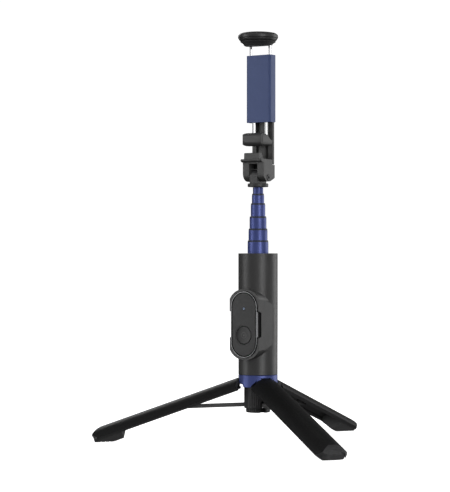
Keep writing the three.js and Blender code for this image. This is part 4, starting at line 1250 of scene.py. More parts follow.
@dataclass
class Legs:
    """The three legs, each a sector of the grip's cylinder, with their feet and struts."""

    bench: Bench
    legs: LegShape
    wall: float = 2
    rim_inset: float = 3.4
    rim_width: float = 1.8
    clearance: float = 0.25
    crown_drop: float = 2.6
    shoulder_drop: float = 5
    arch_flat: float = 4.4
    arch_shoulder: float = 2
    toe_nose: float = 10
    toe_round: float = 0.62
    toe_sides: int = 160
    knuckle: float = 1.9
    knuckle_half: float = 4
    pin_hole: float = 1
    foot_length: float = 23.5
    foot_nose: float = 0.6
    treads: int = 5
    tread_pitch: float = 3.1
    tread_width: float = 0.9
    tread_depth: float = 0.45
    strut_width: float = 3
    strut_eye: float = 1.9
    strut_along: float = 52.3
    strut_below: float = 2.9
    strut_inner: ClassVar[tuple[float, float]] = (7.6, 29.6)
    trunnion: float = 0.8
    trunnion_half: float = 2.1
    skin: float = 0.35

    def build(self) -> None:
        """Makes one leg, foot, strut and pin, and places three of each."""
        opened = self.legs.opened()
        inside = self.legs.grip_radius - self.skin
        shell = self.shell().eased(0.3).marked_within(inside).moved(opened)
        foot = self.foot(opened)
        pin = self.strut_pin().eased(0.2).moved(opened)
        strut = self.strut()
        for side, azimuth in LEG_AZIMUTHS.items():
            turn = about_pole(azimuth)
            for form, name, finish, second, node in (
                (shell, "leg", LEG_BLACK, GREY, "leg_shell"),
                (foot, "foot", FOOT_RUBBER, None, "leg_foot"),
                (pin, "strut_hinge_pin", STEEL, None, "strut_pin"),
                (strut, "strut", STRUT_GREY, None, "leg_strut"),
            ):
                placed = form.copy().moved(turn)
                self.bench.place(placed, f"{name}_{side}", finish, f"{node}_{side}", second=second)

    def sector(self, set_back: float, low: float, high: float) -> Form:
        """The third of a turn that a folded leg may fill.

        Args:
            set_back: Its distance from the planes between two legs.
            low: Its lower end.
            high: Its upper end.

        Returns:
            The sector.
        """
        near, far = set_back / math.sin(math.pi / 3), self.legs.grip_radius + 8
        half = (far - near) * math.tan(math.pi / 3)
        corners = [(near, 0, 0), (far, -half, 0), (far, half, 0)]
        return Form.prism(Outline.polygon(corners), Axis.Z, low, high)

    def toe(self, shorter: float, narrower: float) -> Form:
        """The space that the rounded toe leaves, rounded in the side view and in the front view.

        Args:
            shorter: How far the nose stays back.
            narrower: How far the rounding of the front view stays back.

        Returns:
            The space to keep.
        """
        end = self.legs.hinge_height - self.legs.length
        top, far = self.legs.hinge_height + 1, self.legs.grip_radius
        root = end + self.toe_nose
        tip_radius = self.legs.hinge_radius - self.legs.toe_depth
        nose = Form.rod(1, (0, -20, 0), (0, 20, 0), self.toe_sides)
        flatten = Matrix.Diagonal((far - tip_radius + 0.01, 1, self.toe_nose - shorter, 1))
        nose.moved(Matrix.Translation((tip_radius, 0, root)) @ flatten)
        nose.join(
            Form.block((-5, -20, root), (far + 0.01, 20, top)),
            Form.block((-5, -20, end + shorter), (tip_radius, 20, root + 1)),
        )
        half = far * math.sin(math.pi / 3)
        depth = half * self.toe_round
        front = Form.rod(1, (-10, 0, 0), (30, 0, 0), self.toe_sides)
        front.moved(Matrix.Translation((0, 0, end + narrower + depth)) @ Matrix.Diagonal((1, half, depth, 1)))
        front.join(Form.block((-10, -half, end + narrower + depth), (30, half, top)))
        return nose.keep(front)

    def shell(self) -> Form:
        """A leg's channel, folded and pointing along X."""
        top, bottom = self.legs.hinge_height, self.legs.hinge_height - self.legs.length - 1
        outer, x, z = self.legs.grip_radius, self.legs.hinge_radius, self.legs.hinge_height
        arc = Form.tube(outer - self.rim_inset, outer, bottom, top)
        arc.keep(self.sector(self.clearance, bottom, top))
        channel = Form.rod(outer - self.wall, (0, 0, bottom - 1), (0, 0, top + 1), ROUND_SIDES)
        channel.keep(self.sector(self.clearance + self.rim_width, bottom - 1, top + 1))
        arc.cut(channel).keep(self.toe(0, 0)).cut(self.above())
        web = [
            (x - 0.4, z - self.knuckle + 0.1, 0),
            (x + self.knuckle - 0.3, z - 0.6, 0),
            (outer - 0.2, z - self.crown_drop - 0.2, 0),
            (outer - 0.8, z - self.crown_drop - 3, 0),
            (outer - self.wall - 0.2, z - self.crown_drop - 3, 0),
        ]
        arc.join(
            self.legs.across(self.knuckle, self.knuckle_half),
            Form.prism(Outline.polygon(web), Axis.Y, -self.knuckle_half, self.knuckle_half),
            *[self.cheek(side) for side in (-1, 1)],
        )
        arc.cut(self.legs.across(self.pin_hole, self.knuckle_half + 1))
        return arc.cut(self.strut_hole(self.pin_hole))

    def above(self) -> Form:
        """What lies above the leg's arched upper edge."""
        crown = self.legs.hinge_height - self.crown_drop
        shoulder = self.legs.hinge_height - self.shoulder_drop
        foot = self.legs.grip_radius * math.sin(math.pi / 3) - self.arch_shoulder - 0.5
        flat = self.arch_flat + 3
        corners = [
            (-20, shoulder, 0),
            (-foot, shoulder, 0.6),
            (-flat, crown, 2.6),
            (flat, crown, 2.6),
            (foot, shoulder, 0.6),
            (20, shoulder, 0),
            (20, crown + 20, 0),
            (-20, crown + 20, 0),
        ]
        return Form.prism(Outline.polygon(corners), Axis.X, 0, self.legs.grip_radius + 5)

    def cheek(self, side: int) -> Form:
        """One of the two cheeks inside a leg that carry the strut's pin."""
        x, z = self.legs.hinge_radius - self.strut_below, self.legs.hinge_height - self.strut_along
        near = self.strut_width / 2 + GAP
        low, high = sorted((side * near, side * (near + 1.6)))
        reach = self.legs.grip_radius - self.wall + 0.6
        block = Form.block((x, low, z - self.strut_eye), (reach, high, z + self.strut_eye))
        return block.join(Form.rod(self.strut_eye, (x, low, z), (x, high, z)))

    def strut_hole(self, radius: float, half: float = 6) -> Form:
        """A rod along the strut's outer pivot, in the folded leg."""
        x, z = self.legs.hinge_radius - self.strut_below, self.legs.hinge_height - self.strut_along
        return Form.rod(radius, (x, -half, z), (x, half, z))

    def strut_pin(self) -> Form:
        """The pin of the strut's outer pivot, in the folded leg."""
        return self.strut_hole(self.pin_hole - 0.2, self.strut_width / 2 + GAP + 1.6)

    def foot(self, opened: Matrix) -> Form:
        """A rubber foot, opened, with its sole on the floor and a tread across it.

        Args:
            opened: The turn that opens a leg.

        Returns:
            The foot.
        """
        bottom = self.legs.hinge_height - self.legs.length - 1
        top, outer = bottom + 40, self.legs.grip_radius
        fill = Form.rod(outer - self.wall - GAP, (0, 0, bottom), (0, 0, top), ROUND_SIDES)
        fill.keep(self.sector(self.clearance, bottom - 1, top + 1))
        rims = Form.tube(outer - self.rim_inset - GAP, outer, bottom - 1, top + 1)
        rims.cut(self.sector(self.clearance + self.rim_width + GAP, bottom - 2, top + 2))
        middle = Form.block((-3, -5, bottom - 1), (self.foot_nose, 5, top + 1))
        fill.cut(rims, middle).keep(self.toe(0.6, 0.9)).moved(opened)
        toe = self.legs.point(self.legs.length, -self.legs.toe_depth).x
        heel = toe - self.foot_length
        cutters = [
            Form.block((heel - 100, -50, -50), (heel, 50, 80)),
            Form.block((0, -50, -50), (300, 50, 0)),
        ]
        for i in range(self.treads):
            groove = heel + 4 + i * self.tread_pitch
            cutters.append(Form.block((groove, -30, -1), (groove + self.tread_width, 30, self.tread_depth)))
        return fill.cut(*cutters).eased(0.22)

    def strut(self) -> Form:
        """A strut: a waisted bar with a flute on each flank, an eye outside and a trunnion inside."""
        outer = self.legs.point(self.strut_along, -self.strut_below)
        inner = Vector((self.strut_inner[0], 0, self.strut_inner[1]))
        length, half = (outer - inner).length, self.strut_width / 2
        rise = math.atan2(outer.z - inner.z, outer.x - inner.x)
        turn = Matrix.Translation(inner) @ Matrix.Rotation(-rise, 4, "Y")
        bar = Form.block((0, -half, -half), (length, half, half)).eased(0.45, segments=3)
        for side in (-1, 1):
            low, high = sorted((side * (half - 0.25), side * (half + 1)))
            flute = Outline.rounded(length / 2 - 7, 0.55, 0.5, 0)
            bar.cut(Form.prism(flute, Axis.Y, low, high).moved(Matrix.Translation((length / 2, 0, 0))))
        bar.moved(turn)
        bar.join(
            Form.rod(self.strut_eye, (outer.x, -half, outer.z), (outer.x, half, outer.z)).eased(0.25),
            *[
                Form.rod(radius, (inner.x, -reach, inner.z), (inner.x, reach, inner.z))
                for radius, reach in ((half, half - 0.1), (self.trunnion, self.trunnion_half))
            ],
        )
        return bar.cut(Form.rod(self.pin_hole, (outer.x, -6, outer.z), (outer.x, 6, outer.z)))


# ------------------------------------------------------------------------------------------- pole
@dataclass
class Pole:
    """Six nested tubes, each with its upper end swaged in on the next."""

    bench: Bench
    sections: int = 6
    clearance: float = 0.25
    inner_bore: float = 3.25
    collar: float = 1.3
    collar_step: float = 0.12

    def build(self) -> None:
        """Makes the tubes and finishes the bushes inside them."""
        for number in range(1, self.sections + 1):
            node = f"pole_section_{number}"
            self.bench.place(self.tube(number), f"pole_tube_{number}", BLUE_TUBE, node)
            if number < self.sections:
                # The collar ring is a real shoulder, and its dark colour is painted shade.
                name = f"pole_shaded_collar_{number}"
                self.bench.place(self.ring(number), name, SHADED_COLLAR, node, stands_for=False)
            if number > 1:
                self.bench.dress(f"pole_bush_{number}", BLACK)

    def bore(self, number: int) -> float:
        """The bore of a tube, which the next one slides in."""
        if number == self.sections:
            return self.inner_bore
        return self.bench.extent(f"pole_section_{number + 1}").high.x + self.clearance

    def tube(self, number: int) -> Form:
        """One tube.

        Args:
            number: 1 for the outermost.

        Returns:
            The tube.
        """
        box = self.bench.extent(f"pole_section_{number}")
        radius, low, high = box.high.x, box.low.z, box.high.z
        if number < self.sections:
            high -= self.collar
        bore = self.bore(number)
        profile = [(bore, low, 0), (radius, low, 0.15), (radius, high, 0.12), (bore, high, 0.08)]
        return Form.turned(profile, TUBE_SIDES)

    def ring(self, number: int) -> Form:
        """The collar in the mouth of a tube, a little narrower than the tube and rounded at its top; its dark
        colour is painted shade.

        Args:
            number: The tube's number.

        Returns:
            The collar.
        """
        box = self.bench.extent(f"pole_section_{number}")
        radius, high = box.high.x - self.collar_step, box.high.z
        low, bore = high - self.collar, self.bore(number)
        profile = [(bore, low, 0), (radius, low, 0), (radius, high, 0.35), (bore, high, 0.1)]
        return Form.turned(profile, TUBE_SIDES)


# ------------------------------------------------------------------------------------------- remote
@dataclass
class Remote:
    """The remote: a shell, a bright bezel, a dark face, a round button and a small light."""

    bench: Bench
    wall: float = 1
    bezel_width: float = 0.9
    face_gap: float = 0.4
    button_clearance: float = 0.25
    dish: float = 0.35
    mark_radius: float = 2.3
    mark_width: float = 0.3

    def build(self) -> None:
        """Makes each piece of the remote."""
        self.bench.place(self.back(), "remote_shell", BLACK, "remote_back_shell")
        self.bench.place(self.bezel(), "remote_rim", DARK_CHROME, "remote_bezel")
        self.bench.place(self.face(), "remote_fascia", GLOSS, "remote_face")
        self.bench.place(self.button(), "remote_key", GLOSS, "remote_button")
        self.bench.place(self.mark(), "remote_key_mark", PRINT, "remote_button", stands_for=False)
        self.bench.place(self.light(), "remote_light", LENS, "remote_led")
        self.bench.dress("remote_battery", STEEL)
        self.bench.dress("remote_board", BOARD)

    def outline(self, inset: float) -> bmesh.types.BMesh:
        """The remote's round-ended outline, set in from its edge."""
        box = self.bench.extent("remote_bezel")
        half = box.high.x - inset
        return Outline.rounded(half, box.size.z / 2 - inset, half, box.middle.z, 128)

    def back(self) -> Form:
        """The back shell, round-edged and hollow."""
        box = self.bench.extent("remote_back_shell")
        shell = Form.prism(self.outline(0), Axis.Y, box.low.y, box.high.y).eased(0.5, segments=3)
        hollow = Form.prism(self.outline(self.wall), Axis.Y, box.low.y - CLEAR, box.high.y - self.wall)
        return shell.cut(hollow)

    def bezel(self) -> Form:
        """The polished rim round the face."""
        box = self.bench.extent("remote_bezel")
        rim = Form.prism(self.outline(0), Axis.Y, box.low.y, box.high.y).eased(0.3, segments=3)
        opening = self.outline(self.bezel_width - 0.3)
        return rim.cut(Form.prism(opening, Axis.Y, box.low.y - CLEAR, box.high.y + CLEAR))

    def face(self) -> Form:
        """The face, with a raised edge-break and the holes for the button and the light."""
        box = self.bench.extent("remote_face")
        button, light = self.bench.extent("remote_button"), self.bench.extent("remote_led")
        outline = self.outline(self.bezel_width + self.face_gap)
        face = Form.prism(outline, Axis.Y, box.low.y + 0.1, box.high.y).eased(0.35, segments=3)
        hole = button.high.x + self.button_clearance
        front, behind = box.low.y - CLEAR, box.high.y + CLEAR
        holes = [
            Form.rod(radius, (0, front, height), (0, end, height), sides)
            for radius, height, end, sides in (
                (hole + 0.9, button.middle.z, box.low.y + 0.3, TUBE_SIDES),
                (hole, button.middle.z, behind, TUBE_SIDES),
                (light.high.x + 0.2, light.middle.z, behind, PIN_SIDES),
            )
        ]
        return face.cut(*holes).eased(0.08)

    def button(self) -> Form:
        """The dished button with its stem."""
        box = self.bench.extent("remote_button")
        radius, front, back = box.high.x, box.low.y, box.high.y
        profile = [
            (0, -front - self.dish, 0),
            (radius - 1.6, -front - self.dish * 0.55, 1.2),
            (radius - 0.5, -front, 0.4),
            (radius, -front - 0.35, 0.2),
            (radius, -front - 1.2, 0.1),
            (1.6, -front - 1.2, 0),
            (1.6, -back, 0.2),
            (0, -back, 0),
        ]
        return Form.turned(profile, TUBE_SIDES).moved(self.facing(box.middle.z))

    def mark(self) -> Form:
        """A plain ring printed in the button's dish."""
        box = self.bench.extent("remote_button")
        inner, outer = self.mark_radius - self.mark_width, self.mark_radius
        face = -box.low.y - self.dish
        ring = Form.tube(inner, outer, face, face + self.dish * 0.3)
        dot = Form.turned([(0, face, 0), (0.6, face, 0), (0.6, face + 0.09, 0.04), (0, face + 0.09, 0)], 32)
        return ring.join(dot).moved(self.facing(box.middle.z))

    def light(self) -> Form:
        """The domed light pipe."""
        box = self.bench.extent("remote_led")
        radius, front, back = box.high.x, box.low.y, box.high.y
        profile = [(0, -front, 0), (radius, -front, 0.5), (radius, -back, 0.1), (0, -back, 0)]
        return Form.turned(profile, 40).moved(self.facing(box.middle.z))

    @staticmethod
    def facing(height: float) -> Matrix:
        """Turns a spun form to face -Y, at a height."""
        return Matrix.Translation((0, 0, height)) @ Matrix.Rotation(math.pi / 2, 4, "X")


# ------------------------------------------------------------------------------------------- clamp
@dataclass
class ClampHead:
    """The pole's head, the yoke that tilts on it, and the screw between them."""

    bench: Bench
    tilt_rise: float = 4.4
    knuckle_radius: float = 6.1
    knuckle_half: float = 3.6
    screw_radius: float = 1.5
    screw_head: float = 2.3
    yoke_front: float = -6.4
    stop_half: float = 6.8
    stop_front: float = -9.8
    stop_rise: float = 4.9
    yoke_rise: float = 13.8

    def build(self) -> None:
        """Makes the head, the yoke, the screw and its nut."""
        self.bench.place(self.head(), "head", GREY, "pole_head")
        self.bench.place(self.yoke(), "yoke", CHARCOAL, "clamp_yoke")
        self.bench.place(self.screw(), "tilt_bolt", BLACKED_STEEL, "tilt_screw")
        self.bench.place(self.nut(), "tilt_hex_nut", BLACKED_STEEL, "tilt_nut")

    @property
    def tilt(self) -> float:
        """Height of the tilt axis."""
        return self.bench.extent("clamp_yoke").low.z + 3

    def across(self, radius: float, start: float = -20, end: float = 20) -> Form:
        """A rod along the tilt axis."""
        return Form.rod(radius, (start, 0, self.tilt), (end, 0, self.tilt))

    def head(self) -> Form:
        """The flange, its spigot and the round knuckle."""
        box = self.bench.extent("pole_head")
        flange = self.tilt - self.tilt_rise
        radius = box.high.x
        disc = Form.turned(
            [(0, flange - 2.7, 0), (radius, flange - 2.7, 0.5), (radius, flange, 0.5), (0, flange, 0)]
        )
        spigot = Form.rod(2.95, (0, 0, box.low.z), (0, 0, flange - 2))
        reach = self.knuckle_radius
        corners = [
            (-reach, flange - 0.5, 0),
            (reach, flange - 0.5, 0),
            (reach, self.tilt + reach, reach - 0.01),
            (-reach, self.tilt + reach, reach - 0.01),
        ]
        outline = Outline.polygon(corners, segments=16)
        knuckle = Form.prism(outline, Axis.X, -self.knuckle_half, self.knuckle_half)
        disc.join(spigot, knuckle)
        return disc.cut(self.across(self.screw_radius + 0.2)).eased(0.25)

    def yoke(self) -> Form:
        """The yoke: two cheeks, a front ledge with its stop block, and the seat of the backplate."""
        box = self.bench.extent("clamp_yoke")
        plate = self.bench.extent("clamp_backplate")
        half, back, bottom = box.high.x, box.high.y, box.low.z
        top, tilt = self.tilt + self.yoke_rise, self.tilt
        side = [
            (back, tilt - 0.2, 0.8),
            (back, top, 0.5),
            (self.yoke_front - 0.1, top, 0.5),
            (self.yoke_front - 0.1, bottom, 6.3),
            (2.3, bottom, 0.8),
        ]
        block = Form.prism(Outline.polygon(side, segments=10), Axis.X, -half, half)
        front, low = self.stop_front, top - 2
        ridge = [
            (self.yoke_front + 3, low, 0),
            (front + 2, low - 0.3, 0.6),
            (front, top - 0.9, 0.8),
            (front + 0.8, top + 0.3, 0.6),
            (self.yoke_front + 3, top + 0.3, 0),
        ]
        stop = [
            (front + 0.8, top - 0.4, 0),
            (-1.6, top - 0.4, 0),
            (-5.4, top + self.stop_rise, 0.8),
            (front + 1, top + self.stop_rise, 0.8),
        ]
        block.join(
            Form.prism(Outline.polygon(ridge), Axis.X, -half, half),
            Form.prism(Outline.polygon(stop), Axis.X, -self.stop_half, self.stop_half),
        )
        slot = self.knuckle_half + GAP
        seat = plate.high.x + GAP
        block.cut(
            Form.block((-slot, -20, bottom - 5), (slot, 20, tilt + self.knuckle_radius + 0.5)),
            Form.block((-slot, -20, bottom - 5), (slot, 2, top - 3.3)),
            Form.block((-seat, plate.low.y - GAP, top - 4), (seat, 20, top + 9)),
            self.across(self.screw_radius + 0.2),
            self.across(self.screw_head + 0.2, start=half - 1),
            self.across(self.screw_head + 0.5, end=-half + 1.6),
        )
        return block.eased(0.4, segments=3)

    def screw(self) -> Form:
        """The tilt screw, with a hexagon socket in its flat head."""
        box = self.bench.extent("tilt_screw")
        start, end = box.low.x, box.high.x
        radius, head = self.screw_radius, self.screw_head
        profile = [
            (0, start, 0),
            (radius, start, 0.3),
            (radius, end - 1.1, 0),
            (head, end - 1.1, 0.1),
            (head, end, 0.35),
            (0, end, 0),
        ]
        turn = Matrix.Translation((0, 0, self.tilt)) @ Matrix.Rotation(math.pi / 2, 4, "Y")
        screw = Form.turned(profile, 64)
        screw.cut(Form.rod(1.15, (0, 0, end - 0.7), (0, 0, end + 1), 6))
        return screw.moved(turn)

    def nut(self) -> Form:
        """The hexagon nut, chamfered on both faces."""
        box = self.bench.extent("tilt_nut")
        start, end = box.low.x, box.high.x
        reach = self.screw_head + 0.2
        nut = Form.rod(reach, (0, 0, start), (0, 0, end), 6)
        nut.keep(Form.turned([(0, start, 0), (reach, start, 0.3), (reach, end, 0.3), (0, end, 0)], 64))
        turn = Matrix.Translation((0, 0, self.tilt)) @ Matrix.Rotation(math.pi / 2, 4, "Y")
        return nut.moved(turn)


@dataclass
class ClampBack:
    """The grooved backplate and the blue cover that slides over the jaws' rods."""

    bench: Bench
    groove_offset: float = 4.3
    groove_width: float = 2.4
    groove_depth: float = 1.5
    cover_wall: float = 0.8
    front_wall: float = 1
    corner: float = 1.4
    rod_gap: float = 0.25

    def build(self) -> None:
        """Makes the backplate and the cover."""
        self.bench.place(self.plate(), "backplate", CHARCOAL, "clamp_backplate")
        self.bench.place(self.cover(), "cover", BLUE_PAINT, "clamp_cover")

    def plate(self) -> Form:
        """The backplate, with two grooves along its front."""
        box = self.bench.extent("clamp_backplate")
        yoke, cover = self.bench.extent("clamp_yoke"), self.bench.extent("clamp_cover")
        slab = Form.block(box.low, box.high).eased(0.6, segments=3)
        low, high = yoke.high.z - 3.9, cover.high.z - 3
        for side in (-1, 1):
            middle, half = side * self.groove_offset, self.groove_width / 2
            floor = box.low.y + self.groove_depth
            slab.cut(Form.block((middle - half, box.low.y - 1, low), (middle + half, floor, high)))
        return slab.eased(0.18)

    def cover(self) -> Form:
        """The cover: a pressed channel with rounded front corners and holes for the four rods."""
        box = self.bench.extent("clamp_cover")
        plate = self.bench.extent("clamp_backplate")
        inner, outer = self.bench.extent("lower_rod_right"), self.bench.extent("upper_rod_right")
        half, low, high = box.high.x, box.low.z, box.high.z
        deep = box.size.y
        outline = Outline.polygon(
            [(-half, 0, self.corner), (half, 0, self.corner), (half, deep, 0.3), (-half, deep, 0.3)]
        )
        shell = Form.prism(outline, Axis.Z, low, high)
        wall = half - self.cover_wall
        cutters = [Form.block((-wall, self.front_wall, low + 1.2), (wall, 20, high - 1.2))]
        for side in (-1, 1):
            for rod, ends in ((inner, (low - 1, low + 2)), (outer, (high - 2, high + 1))):
                x, y, radius = side * rod.middle.x, rod.middle.y, rod.size.x / 2 + self.rod_gap
                cutters.append(Form.rod(radius, (x, y, ends[0]), (x, y, ends[1])))
        mouth = plate.high.x + GAP
        cutters.append(Form.block((-mouth, plate.low.y - GAP, low - 1), (mouth, 20, low + 2)))
        return shell.cut(*cutters).eased(0.22, segments=3)


@dataclass
class UpperJaw:
    """The round upper jaw with its rubber tier, its two rods and the spring that pulls it in."""

    bench: Bench
    spring_turns: int = 9
    spring_steps: int = 24
    spring_wire: float = 0.3
    spring_keep: float = 0.34
    tier_radius: float = 10
    crease: float = 0.3
    rod_gap: float = 0.2
    underside_slope: float = 5.2

    def build(self) -> None:
        """Makes the cap, the tier and the rods, and a spring with a mesh of its own."""
        self.bench.place(self.cap(), "jaw_cap", CAP_BLACK, "upper_jaw_cap")
        self.bench.place(self.tier(), "jaw_tier", RUBBER, "upper_jaw_pad")
        self.bench.dress("upper_bridge", BLACK)
        spring = self.bench.place(self.coil(), "coil_spring", STEEL, "clamp_spring")
        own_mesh(spring)
        for side in ("left", "right"):
            node = f"upper_rod_{side}"
            self.bench.place(polished_rod(self.bench.extent(node)), f"jaw_rod_{side}", CHROME, node)

    def coil(self) -> Form:
        """The spring: round wire wound about an upright axis between the two bridges."""
        box = self.bench.extent("clamp_spring")
        wire, steps = self.spring_wire, self.spring_steps * self.spring_turns
        rise = box.size.z - 2 * wire
        shape = bmesh.new()
        turn = Matrix.Translation((box.high.x - wire, box.middle.y, box.low.z + wire)) @ Axis.Y.basis()
        bmesh.ops.create_circle(shape, cap_ends=True, segments=10, radius=wire, matrix=turn)
        bmesh.ops.spin(
            shape,
            geom=shape.verts[:] + shape.edges[:] + shape.faces[:],
            cent=(box.middle.x, box.middle.y, 0),
            axis=(0, 0, 1),
            dvec=(0, 0, rise / steps),
            angle=math.tau * self.spring_turns,
            steps=steps,
            use_duplicate=False,
        )
        return Form.of(shape)

    def holes(self) -> list[Form]:
        """The blind holes that take the rods."""
        rods = [self.bench.extent(f"upper_rod_{side}") for side in ("left", "right")]
        bottom = self.bench.extent("upper_jaw_pad").low.z - 1
        holes = []
        for rod in rods:
            x, y = rod.middle.x, rod.middle.y
            holes.append(Form.rod(rod.size.x / 2 + self.rod_gap, (x, y, bottom), (x, y, rod.high.z + GAP)))
        return holes

    def cap(self) -> Form:
        """The cap: a shallow dome, a rounded rim and a crease below it."""
        box = self.bench.extent("upper_jaw_cap")
        low, high, rim = box.low.z, box.high.z, box.high.x
        profile = [
            (0, low, 0),
            (rim - 1.7, low, 0.3),
            (rim - 0.5, low + 1.5, 0.5),
            (rim - 0.5 - self.crease, low + 1.8, 0.1),
            (rim - 0.1, low + 2.1, 0.2),
            (rim, low + 3.4, 0.8),
            (rim - 0.3, high - 1.9, 0.9),
            (rim - 1.8, high - 0.6, 1),
            (rim - 5.5, high, 1.5),
            (0, high, 0),
        ]
        return Form.turned(profile).cut(*self.holes())

    def tier(self) -> Form:
        """The tier under the cap: its underside rises towards the back, and grip rings run round it."""
        box = self.bench.extent("upper_jaw_pad")
        low, high, rim = box.low.z, box.high.z, box.high.x
        profile = [
            (0, low, 0),
            (self.tier_radius, low, 0.5),
            (self.tier_radius + 1.1, low + 1, 0.3),
            (self.tier_radius + 0.9, low + 1.3, 0.1),
            (rim - 0.9, high - 1, 0.3),
            (rim, high - 0.8, 0.2),
            (rim, high, 0.1),
            (0, high, 0),
        ]
        tier = Form.turned(profile)
        slope = Matrix.Translation((0, -2, low)) @ Matrix.Rotation(math.radians(self.underside_slope), 4, "X")
        wedge = Form.block((-20, 0, -10), (20, 30, 0)).moved(slope)
        return tier.cut(wedge, *self.holes()).eased(0.15)


def polished_rod(box: Extent) -> Form:
    """A round rod that fills a box, with rounded ends."""
    radius = box.size.x / 2
    profile = [(0, box.low.z, 0), (radius, box.low.z, 0.3), (radius, box.high.z, 0.3), (0, box.high.z, 0)]
    return Form.turned(profile, 48).moved(Matrix.Translation((box.middle.x, box.middle.y, 0)))


@dataclass
class LowerJaw:
    """The hooked lower jaw with its rubber pad and its two rods."""

    bench: Bench
    arm_height: float = 3.9
    arm_lift: float = 0.7
    nose_radius: float = 3.4
    pad_gap: float = 0.2
    pad_ribs: int = 4

    def build(self) -> None:
        """Makes the jaw, its pad and its rods."""
        self.bench.place(self.jaw(), "hook", CHARCOAL, "lower_jaw")
        self.bench.place(self.pad(), "hook_pad", RUBBER, "lower_jaw_pad")
        self.bench.dress("lower_bridge", BLACK)
        for side in ("left", "right"):
            node = f"lower_rod_{side}"
            self.bench.place(polished_rod(self.bench.extent(node)), f"hook_rod_{side}", CHROME, node)

    def jaw(self) -> Form:
        """The hook: a thick rounded lip on a thinner arm."""
        box = self.bench.extent("lower_jaw")
        pad = self.bench.extent("lower_jaw_pad")
        front, back, low, high, half = box.low.y, box.high.y, box.low.z, box.high.z, box.high.x
        arm = low + self.arm_lift
        side = [
            (front, low, 4.2),
            (-1.4, low, 1.4),
            (2.4, arm, 1.4),
            (back, arm, 0),
            (back, arm + self.arm_height, 0),
            (3.2, arm + self.arm_height, 1.6),
            (-2.4, high, 1.6),
            (front, high, 3.8),
        ]
        body = Form.prism(Outline.polygon(side, segments=8), Axis.X, -half, half)
        plan = [(-half, front, 3.4), (half, front, 2.2), (half, back + 6, 0), (-half, back + 6, 0)]
        nose = Outline.rounded(half, (high - low) / 2, self.nose_radius, centre_b=(high + low) / 2)
        body.keep(
            Form.prism(Outline.polygon(plan, segments=10), Axis.Z, low - 1, high + 1),
            Form.prism(nose, Axis.Y, front - 1, back + 1),
        )
        cutters = [self.pad_outline(pad, self.pad_gap, pad.low.z - GAP, high + 1)]
        for name in ("left", "right"):
            rod = self.bench.extent(f"lower_rod_{name}")
            x, y = rod.middle.x, rod.middle.y
            cutters.append(Form.rod(rod.size.x / 2 + 0.2, (x, y, rod.low.z - GAP), (x, y, high + 1)))
        return body.cut(*cutters).eased(0.4, segments=3)

    @staticmethod
    def pad_outline(pad: Extent, more: float, low: float, high: float) -> Form:
        """The pad's plan, drawn out between two heights.

        Args:
            pad: The pad's box.
            more: How much larger the outline is all round.
            low: Lower height.
            high: Upper height.

        Returns:
            The form.
        """
        half, depth = pad.size.x / 2 + more, pad.size.y / 2 + more
        form = Form.prism(Outline.rounded(half, depth, 1.6 + more), Axis.Z, low, high)
        return form.moved(Matrix.Translation((0, pad.middle.y, 0)))

    def pad(self) -> Form:
        """The pad, with shallow ribs along it."""
        box = self.bench.extent("lower_jaw_pad")
        pad = self.pad_outline(box, 0, box.low.z, box.high.z).eased(0.2)
        pitch = box.size.y / (self.pad_ribs + 1)
        grooves = []
        for i in range(self.pad_ribs):
            y = box.low.y + pitch * (i + 1)
            grooves.append(Form.block((-20, y - 0.15, box.high.z - 0.25), (20, y + 0.15, box.high.z + 1)))
        return pad.cut(*grooves)


# ------------------------------------------------------------------------------------------- studio
@dataclass(frozen=True)
class Softbox:
    """A rectangular light that faces the object."""

    name: str
    azimuth: float
    rise: float
    distance: float
    width: float
    height: float
    watts: float


